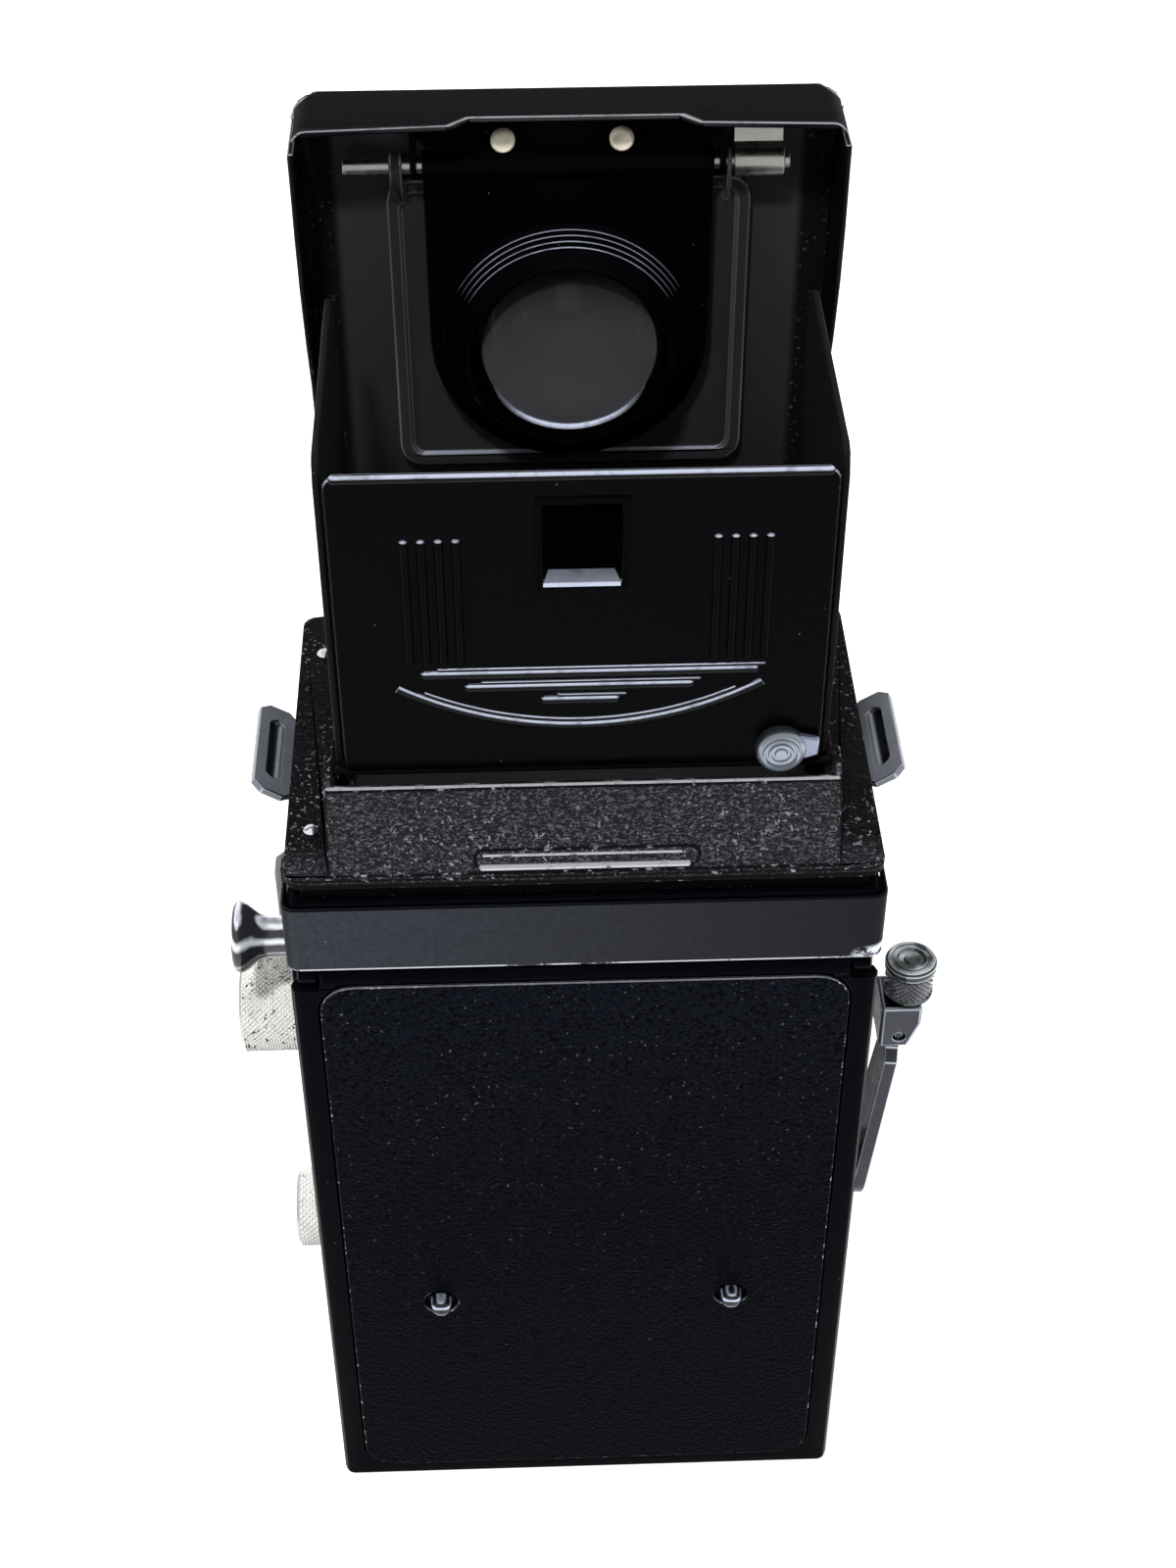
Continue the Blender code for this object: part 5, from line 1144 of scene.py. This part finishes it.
class BuildLid(bpy.types.Operator):
    """Finish the lid, its finder flap and the magnifier"""

    bl_idname = "reflex.lid"
    bl_label = "Lid and magnifier"

    def execute(self, context):
        dressed("hood_lid", "gloss_black", "lid_paint", "worn_enamel_with_painted_highlight", shaped=self.rounded_lid())
        dressed("magnifier_bracket", "gloss_black", "plain_enamel")
        head = [
            (0, -0.25), (0.8, -0.22), (1.0, -0.05), (1.2, 0), (1.4, -0.15), (1.5, -0.5), (1.5, -1.1),
            (0, -1.1),
        ]
        rivets = ("bracket_rivet_left", "bracket_rivet_right")
        lathe("brass", "cream_rivets", head, Y, *rivets, steps=40, shift=mm(0, 0, -1.1))
        dressed("magnifier_rod", "chrome", "silver_rod")
        dressed("rod_clip", "chrome", "silver_rod")
        dressed("sports_flap", "matte_black", "matt_paint", "matt_edge", 0.3 * MM)
        dressed("magnifier_plate", "gloss_black", "plain_enamel")
        self.make_magnifier()
        return {"FINISHED"}

    def rounded_lid(self):
        """A copy of the lid with the corners of its lip drawn round."""
        lid = copied("hood_lid")
        low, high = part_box("hood_lid")
        blank = block(low - mm(0, 1, 1), high)

        def at_a_lip_corner(first, last):
            outer = min(abs(first.x), abs(last.x)) > high.x - 1 * MM
            along_the_top = min(first.z, last.z) > high.z - 1 * MM and abs(first.y - last.y) > 1 * MM
            upright = min(first.y, last.y) > high.y - 1 * MM and abs(first.z - last.z) > 1 * MM
            return outer and (along_the_top or upright)

        bevel_edges(blank, at_a_lip_corner, 2.55 * MM, 8)
        combine(lid, "INTERSECT", blank)
        return lid

    def make_magnifier(self):
        """The stepped ring and the lens that it holds."""
        ring = [
            (12.5, 0), (13, 0), (13.2, -0.5), (14.3, -2.7), (16.0, -4.7), (16.4, -5.2), (16.4, -6.5),
            (11.4, -6.5), (11.4, -4.1), (12.3, -3.9), (12.5, 0),
        ]
        lathe("gloss_black", "plain_enamel", ring, Y, "magnifier_ring", steps=96, edge=0.12 * MM)
        face, ridges = tip("magnifier_ring", Y), []
        round_wire, wire = [radians(angle) for angle in range(0, 361, 60)], 0.17
        for radius, depth in ((14.35, -2.55), (14.85, -3.15), (15.35, -3.75), (15.85, -4.3)):
            ridge = [(radius + wire * cos(angle), depth + wire * sin(angle)) for angle in round_wire]
            ridges.append(turned(ridge, Y, 96, face))
        added(joined(ridges), "magnifier_ring_ridges", "magnifier_ring", "gloss_black", "ring_enamel")
        keeper = [
            (11.2, -2.5), (11.4, -2.05), (11.8, -1.8), (12.3, -1.9), (12.45, -2.8), (11.3, -2.7),
            (11.2, -2.5),
        ]
        keeper = turned(keeper, Y, 96, face)
        added(keeper, "lens_keeper", "magnifier_ring", "gloss_black", "bead_with_painted_highlight")
        lens = [
            (0, 0), (2, -0.04), (4, -0.15), (6, -0.38), (8, -0.7), (10, -1.1), (11.9, -1.6), (11.9, -2.4),
            (8, -2.9), (4, -3.2), (0, -3.3),
        ]
        lathe("glass", "magnifier_glass", lens, Y, "magnifier_lens", steps=96)


class BuildFittings(bpy.types.Operator):
    """Finish the strap lugs and the accessory shoe"""

    bl_idname = "reflex.fittings"
    bl_label = "Lugs and shoe"

    def execute(self, context):
        self.fit_lug("strap_lug_left", 1)
        self.fit_lug("strap_lug_right", -1)
        dressed("accessory_shoe", "satin_chrome", "satin_chrome_plate")
        centre = middle("accessory_shoe")
        centre.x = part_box("accessory_shoe")[0].x + 1.3 * MM
        places = four_places(centre, mm(0, 4, 0), mm(0, 0, 5))
        screws("shoe_screw", "accessory_shoe", places, X, 1.2, 0.6, rise=0.3)
        return {"FINISHED"}

    def fit_lug(self, node, side):
        """A lug, the bar along its slot's foot, and a dark leaf that leans behind the slot, put there as
        painted shade in it. Side is 1 or -1.
        """
        dressed(node, "chrome", "lug_chrome", "dull_chrome_edge")
        low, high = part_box(node)
        wall = low.x if side > 0 else high.x
        bar_x, bar_z, bar_inset = wall + 2.6 * MM * side, low.z + 5.75 * MM, 3.0 * MM
        start, end = Vector((bar_x, low.y + bar_inset, bar_z)), Vector((bar_x, high.y - bar_inset, bar_z))
        added(rib(start, end, 0.5, 16), f"{node}_slot_bar", node, "chrome", "lug_chrome")
        # Painted shade: a dark leaf behind the slot.
        near, far = sorted((-0.4 * MM * side, 2.5 * MM * side))
        lean, leaf_inset = radians(-32 * side), 2.6 * MM
        leaf = block((near, low.y + leaf_inset, -1.05 * MM), (far, high.y - leaf_inset, -0.75 * MM))
        root = Matrix.Translation((wall + 2.08 * MM * side, 0, low.z + 6.05 * MM))
        leaf.matrix_world = root @ Matrix.Rotation(lean, 4, "Y")
        added(leaf, f"{node}_shade_leaf", node, "chrome", "shade_leaf")


class BuildKnobs(bpy.types.Operator):
    """Turn and knurl the two spool knobs and the focusing knob"""

    bl_idname = "reflex.knobs"
    bl_label = "Knobs"

    def execute(self, context):
        upper = [
            (0, -0.1), (3.0, -0.1), (3.5, 0), (4.2, -0.1), (4.7, -0.4), (4.9, -0.9), (4.8, -1.3), (4.4, -2.0),
            (3.7, -2.8), (3.1, -3.6), (2.8, -4.6), (2.7, -5.6), (2.7, -8.4), (3.1, -8.8), (3.1, -11.4),
            (2.2, -11.6), (2.2, -18.0), (1.4, -18.8), (0, -18.8),
        ]
        lathe("chrome", "turned_chrome", upper, X, "upper_spool_knob", steps=96)
        lower = [
            (0, -0.2), (4.9, -0.2), (5.1, 0), (5.7, 0), (5.9, -0.5), (5.9, -3.6), (5.6, -4.0), (3.1, -4.8),
            (3.1, -10.3), (2.2, -10.5), (2.2, -16.9), (1.4, -17.7), (0, -17.7),
        ]
        lathe("aluminium", "pale_aluminium", lower, X, "lower_spool_knob", steps=96)
        depth = sizes().knurl_depth
        rim = knurled(6.4 * MM, depth, 3.0 * MM, 40, tip("lower_spool_knob", X) - mm(2.0, 0, 0), X)
        added(rim, "lower_knob_knurls", "lower_spool_knob", "aluminium", "pale_knurls")
        core = [
            (0, -0.3), (4.6, -0.3), (4.8, 0), (6.0, 0), (6.2, -0.3), (6.3, -8.5), (6.0, -8.9), (2.0, -8.9),
            (2.0, -16.8), (0, -16.8),
        ]
        lathe("aluminium", "pale_aluminium", core, X, "focus_knob", steps=96)
        place = tip("focus_knob", X) - mm(4.35, 0, 0)
        rim = knurled(6.8 * MM, depth * 1.2, 7.9 * MM, sizes().knurl_teeth, place, X)
        added(rim, "focus_knob_knurls", "focus_knob", "aluminium", "pale_knurls")
        return {"FINISHED"}


class BuildCrank(bpy.types.Operator):
    """Finish the crank's hub, arm and yoke, and turn its spinning grip"""

    bl_idname = "reflex.crank"
    bl_label = "Crank"

    def execute(self, context):
        dressed("crank_arm", "satin_chrome", "dark_plate", "dull_chrome_edge")
        dressed("crank_yoke", "satin_chrome", "yoke_plate", "dull_chrome_edge")
        dressed("crank_hub", "chrome", "bright_chrome")
        wall = middle("crank_hub")
        wall.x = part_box("crank_side_plate")[0].x
        band = [(5.6, 2.0), (5.95, 2.0), (6.1, 1.8), (6.1, 0.5), (5.9, 0.3), (5.6, 0.3), (5.6, 2.0)]
        added(turned(band, -X, 72, wall), "crank_hub_band", "crank_hub", "chrome", "polished_ring")
        grip = [
            (0, -0.1), (0.8, -0.1), (1.1, -0.4), (1.8, -0.4), (2.1, 0), (2.4, 0), (2.5, -0.12), (2.7, -0.12),
            (2.8, 0), (3.2, 0), (3.5, -0.15), (3.7, -0.5), (3.7, -1.4), (3.4, -1.8), (3.1, -2.0), (3.1, -5.7),
            (3.5, -5.8), (3.5, -6.2), (3.0, -6.4), (1.75, -6.4), (1.75, -1.5), (0, -1.5),
        ]
        lathe("chrome", "grip_chrome", grip, Z, "crank_grip", steps=96)
        place = tip("crank_grip", Z) - mm(0, 0, 3.85)
        band = knurled(3.5 * MM, sizes().knurl_depth, 3.6 * MM, 26, place, Z)
        added(band, "crank_grip_knurls", "crank_grip", "chrome", "grip_knurls")
        return {"FINISHED"}


class BuildWorks(bpy.types.Operator):
    """Finish the spools, the roller and the gear train"""

    bl_idname = "reflex.works"
    bl_label = "Film works"

    def execute(self, context):
        for node in ("take_up_spool", "supply_spool"):
            dressed(node, "spool_plastic", "moulded_spool")
        dressed("film_roller", "steel", "bright_steel")
        for node in ("idler_gear_lower", "idler_gear_upper", "take_up_gear"):
            dressed(node, "brass", "yellow_brass", edge=0.06 * MM)
        return {"FINISHED"}


class BuildFront(bpy.types.Operator):
    """Turn the shutter and both lenses' mounts and glasses, and finish the lens board"""

    bl_idname = "reflex.front"
    bl_label = "Front"

    def execute(self, context):
        dressed("lens_board", "black_paint", "satin_paint", "worn_satin_paint")
        screws("board_screw", "lens_board", front_corners("front_leather", 3.4), -Y, 1.4, 1.0, 0.5)
        self.make_shutter()
        self.make_mounts()
        for node in ("speed_lever", "aperture_lever"):
            dressed(node, "chrome", "polished_ring")
        return {"FINISHED"}

    def make_shutter(self):
        """The shutter's stepped housing, with the two slots that its levers run in and its printed scales."""
        housing = [
            (12.4, 0), (17.4, 0), (17.8, -0.2), (18.8, -0.8), (18.8, -4.2), (19.2, -4.2), (21.0, -4.6),
            (22.3, -5.6), (22.6, -6.6), (22.6, -12.6), (13.0, -12.6), (13.0, -17.8), (12.4, -17.8), (12.4, 0),
        ]
        face = tip("shutter_housing", -Y)
        piece = turned(housing, -Y, 128, face)
        combine(piece, "DIFFERENCE", *[self.slot_cutter(face, start) for start in (118, 8)])
        paint(piece, "satin_chrome_plate")
        hand_over(piece, "shutter_housing_finished", "shutter_housing")
        marks = []
        speeds, stops = ("1", "2", "5", "10", "25", "50", "100"), ("4", "5.6", "8", "11", "16", "22")
        for start, step, numbers in ((172, -9.2, speeds), (62, -11.0, stops)):
            marks += [self.figure(number, face, start + step * i) for i, number in enumerate(numbers)]
        added(joined(marks), "shutter_scales", "shutter_housing", "satin_chrome", "white_figures")

    def slot_cutter(self, face, start):
        """A slot's part of a ring about the lens's axis, from an angle in degrees."""
        (inner, outer), (near, far), sweep = (19.4, 20.6), (3.1, 7.2), 54
        section = primitive(bpy.ops.mesh.primitive_plane_add, size=MM)
        section.scale = (outer - inner, far - near, 1)
        section.location = face + mm((inner + outer) / 2, (near + far) / 2, 0)
        settle(section)
        open_mesh(section, "SELECT")
        bpy.ops.transform.rotate(value=radians(start), orient_axis="Y", center_override=face)
        bpy.ops.mesh.spin(steps=24, angle=-radians(sweep), center=face, axis=(0, 1, 0), dupli=False)
        seal()
        return section

    def figure(self, number, face, angle):
        """A raised number on the shutter's face, turned to read from the middle of the dial."""
        height, ring = 1.25 * MM, 16.55
        bpy.ops.object.select_all(action="DESELECT")
        bpy.ops.object.text_add()
        text = bpy.context.object
        text.data.body = number
        text.data.size = height
        text.data.extrude = 0.03 * MM
        text.data.align_x = text.data.align_y = "CENTER"
        bpy.ops.object.convert(target="MESH")
        turn = radians(angle)
        spin = Matrix.Rotation(pi / 2 - turn, 4, "Y") @ Matrix.Rotation(pi / 2, 4, "X")
        text.matrix_world = Matrix.Translation(face + mm(cos(turn), 0, sin(turn)) * ring) @ spin
        settle(text)
        return text

    def make_mounts(self):
        taking = [
            (14.2, 0), (15.0, 0), (15.4, -0.6), (15.4, -3.0), (14.6, -3.4), (14.6, -12.0), (10.8, -12.0),
            (10.8, -6.4), (12.0, -5.6), (12.2, -4.8), (12.8, -4.4), (12.8, -2.6), (13.3, -2.2), (13.8, -2.0),
            (14.2, 0),
        ]
        lathe("chrome", "polished_ring", taking, -Y, "taking_lens_barrel", steps=128, edge=0.08 * MM)
        viewing = [
            (14.2, 0), (15.0, 0), (15.4, -0.6), (15.4, -3.0), (14.6, -3.4), (14.6, -10.9), (16.4, -11.7),
            (16.9, -12.9), (16.9, -19.85), (14.9, -19.85), (14.9, -28.9), (13.4, -28.9), (13.4, -10.9),
            (10.8, -10.1), (10.8, -6.4), (12.0, -5.6), (12.8, -4.0), (12.8, -2.6), (13.8, -2.0), (14.2, 0),
        ]
        lathe("chrome", "polished_ring", viewing, -Y, "viewing_lens_barrel", steps=128, edge=0.08 * MM)
        rear = [(8.6, 0), (12.0, 0), (12.0, -16.2), (11.2, -17.0), (8.6, -17.0), (8.6, 0)]
        lathe("matte_black", "flat_black", rear, -Y, "taking_rear_barrel", steps=96, edge=0.1 * MM)
        glasses = {
            "taking_front_glass": [
                (0, 0), (2, -0.05), (3.5, -0.2), (5.2, -0.52), (7.0, -1.0), (8.6, -1.65), (9.9, -2.4),
                (9.9, -4.0), (6.0, -3.5), (0, -3.2),
            ],
            "taking_rear_glass": [(0, 0), (4.5, -0.2), (8.2, -0.9), (8.2, -2.0), (4.5, -2.7), (0, -2.9)],
            "viewing_lens_glass": [
                (0, 0), (2, -0.07), (4.0, -0.3), (6.0, -0.75), (8.0, -1.4), (9.2, -2.0), (10.2, -2.8),
                (10.2, -4.4), (6.0, -4.2), (0, -4.0),
            ],
        }
        for node, profile in glasses.items():
            lathe("glass", "coated_lens", profile, -Y, node, steps=96)


# ---------------------------------------------------------------- stage


class BuildStage(bpy.types.Operator):
    """Set out the white floor, the lights and the camera"""

    bl_idname = "reflex.stage"
    bl_label = "Stage"

    def execute(self, context):
        scene = context.scene
        scene.view_settings.view_transform = "Standard"
        self.lay_floor()
        self.light_world(scene)
        self.hang_lamps(scene)
        self.set_camera(scene)
        return {"FINISHED"}

    def lay_floor(self):
        bpy.ops.object.select_all(action="DESELECT")
        bpy.ops.mesh.primitive_plane_add(size=6, location=(0, 0, SOLIDS_BOX[0][2] - 0.05 * MM))
        floor = bpy.context.object
        floor.name = "floor"
        tree, shader = blank_finish("white_floor")
        tree.nodes.remove(shader)
        diffuse = put(tree, "BsdfDiffuse", Color=(0.8, 0.8, 0.8)).outputs[0]
        glow = put(tree, "Emission", Color=(1.0, 1.0, 1.0), Strength=0.62).outputs[0]
        both, choose = tree.nodes.new("ShaderNodeAddShader"), tree.nodes.new("ShaderNodeMixShader")
        for value, socket in zip((diffuse, glow), both.inputs):
            feed(tree, value, socket)
        for value, socket in zip((seen_directly(tree), diffuse, both.outputs[0]), choose.inputs):
            feed(tree, value, socket)
        feed(tree, choose.outputs[0], tree.nodes["Material Output"].inputs["Surface"])
        paint(floor, "white_floor")

    def light_world(self, scene):
        scene.world = bpy.data.worlds.new("studio")
        scene.world.use_nodes = True
        tree = scene.world.node_tree
        background = tree.nodes["Background"].inputs
        feed(tree, (1.0, 1.0, 1.0), background["Color"])
        feed(tree, remap(tree, seen_directly(tree), 0.0, 1.0, 0.3, 1.0), background["Strength"])

    def hang_lamps(self, scene):
        """Each lamp's place, its width and its power. All face the middle of the camera."""
        centre = Vector((0, 0, 0.11))
        lamps = {
            "key": ((0.16, 0.5, 1.0), 0.08, 7.0),
            "overhead": ((-0.1, -0.1, 1.15), 0.4, 6.0),
            "left": ((0.9, 0.35, 0.5), 0.15, 3.0),
            "right": ((-0.9, 0.25, 0.45), 0.15, 2.0),
            "front": ((0.3, -1.0, 0.5), 0.5, 8.0),
        }
        for name, (place, size, power) in lamps.items():
            light = bpy.data.lights.new(name, "AREA")
            light.size = size
            light.energy = power
            lamp = bpy.data.objects.new(name, light)
            lamp.visible_glossy = False
            lamp.location = place
            lamp.rotation_euler = (centre - Vector(place)).to_track_quat("-Z", "Y").to_euler()
            scene.collection.objects.link(lamp)

    def set_camera(self, scene):
        data = bpy.data.cameras.new("view")
        data.lens = 56.25
        data.sensor_width = 36.0
        data.clip_start = 0.01
        camera = bpy.data.objects.new("view", data)
        camera.location = (0.0072156, 0.2468993, 0.3381993)
        camera.rotation_euler = (radians(48.68727), radians(0.0278), radians(178.01214))
        scene.collection.objects.link(camera)
        scene.camera = camera


def seen_directly(tree):
    """1 where the camera, a reflection or a lens looks, and 0 for the light that falls on things."""
    path = put(tree, "LightPath").outputs
    first = math_node(tree, "MAXIMUM", path["Is Camera Ray"], path["Is Glossy Ray"])
    return math_node(tree, "MAXIMUM", first, path["Is Transmission Ray"])


# ---------------------------------------------------------------- add-on


PIECES = (
    BuildBody, BuildDoor, BuildLeather, BuildHood, BuildRearPanel, BuildLid, BuildFittings, BuildKnobs,
    BuildCrank, BuildWorks, BuildFront,
)


class ReflexPanel(bpy.types.Panel):
    """The camera's settings and the operators that build its pieces"""

    bl_idname = "VIEW3D_PT_reflex"
    bl_label = "Twin Lens Reflex"
    bl_space_type = "VIEW_3D"
    bl_region_type = "UI"
    bl_category = "Reflex"

    def draw(self, context):
        for settings in (context.scene.reflex_finishes, context.scene.reflex_sizes):
            column = self.layout.column(align=True)
            for name in settings.__annotations__:
                column.prop(settings, name)
        column = self.layout.column(align=True)
        for piece in (*PIECES, BuildStage):
            column.operator(piece.bl_idname)


CLASSES = (ReflexFinishes, ReflexSizes, *PIECES, BuildStage, ReflexPanel)


def register():
    for cls in CLASSES:
        bpy.utils.register_class(cls)
    bpy.types.Scene.reflex_finishes = PointerProperty(type=ReflexFinishes)
    bpy.types.Scene.reflex_sizes = PointerProperty(type=ReflexSizes)


def unregister():
    del bpy.types.Scene.reflex_sizes
    del bpy.types.Scene.reflex_finishes
    for cls in reversed(CLASSES):
        bpy.utils.unregister_class(cls)


def main():
    register()
    bpy.ops.object.select_all(action="DESELECT")
    build_effects()
    build_finishes()
    bpy.ops.reflex.body()
    bpy.ops.reflex.door()
    bpy.ops.reflex.leather()
    bpy.ops.reflex.hood()
    bpy.ops.reflex.rear_panel()
    bpy.ops.reflex.lid()
    bpy.ops.reflex.fittings()
    bpy.ops.reflex.knobs()
    bpy.ops.reflex.crank()
    bpy.ops.reflex.works()
    bpy.ops.reflex.front()
    bpy.ops.reflex.stage()


if __name__ == "__main__":
    main()
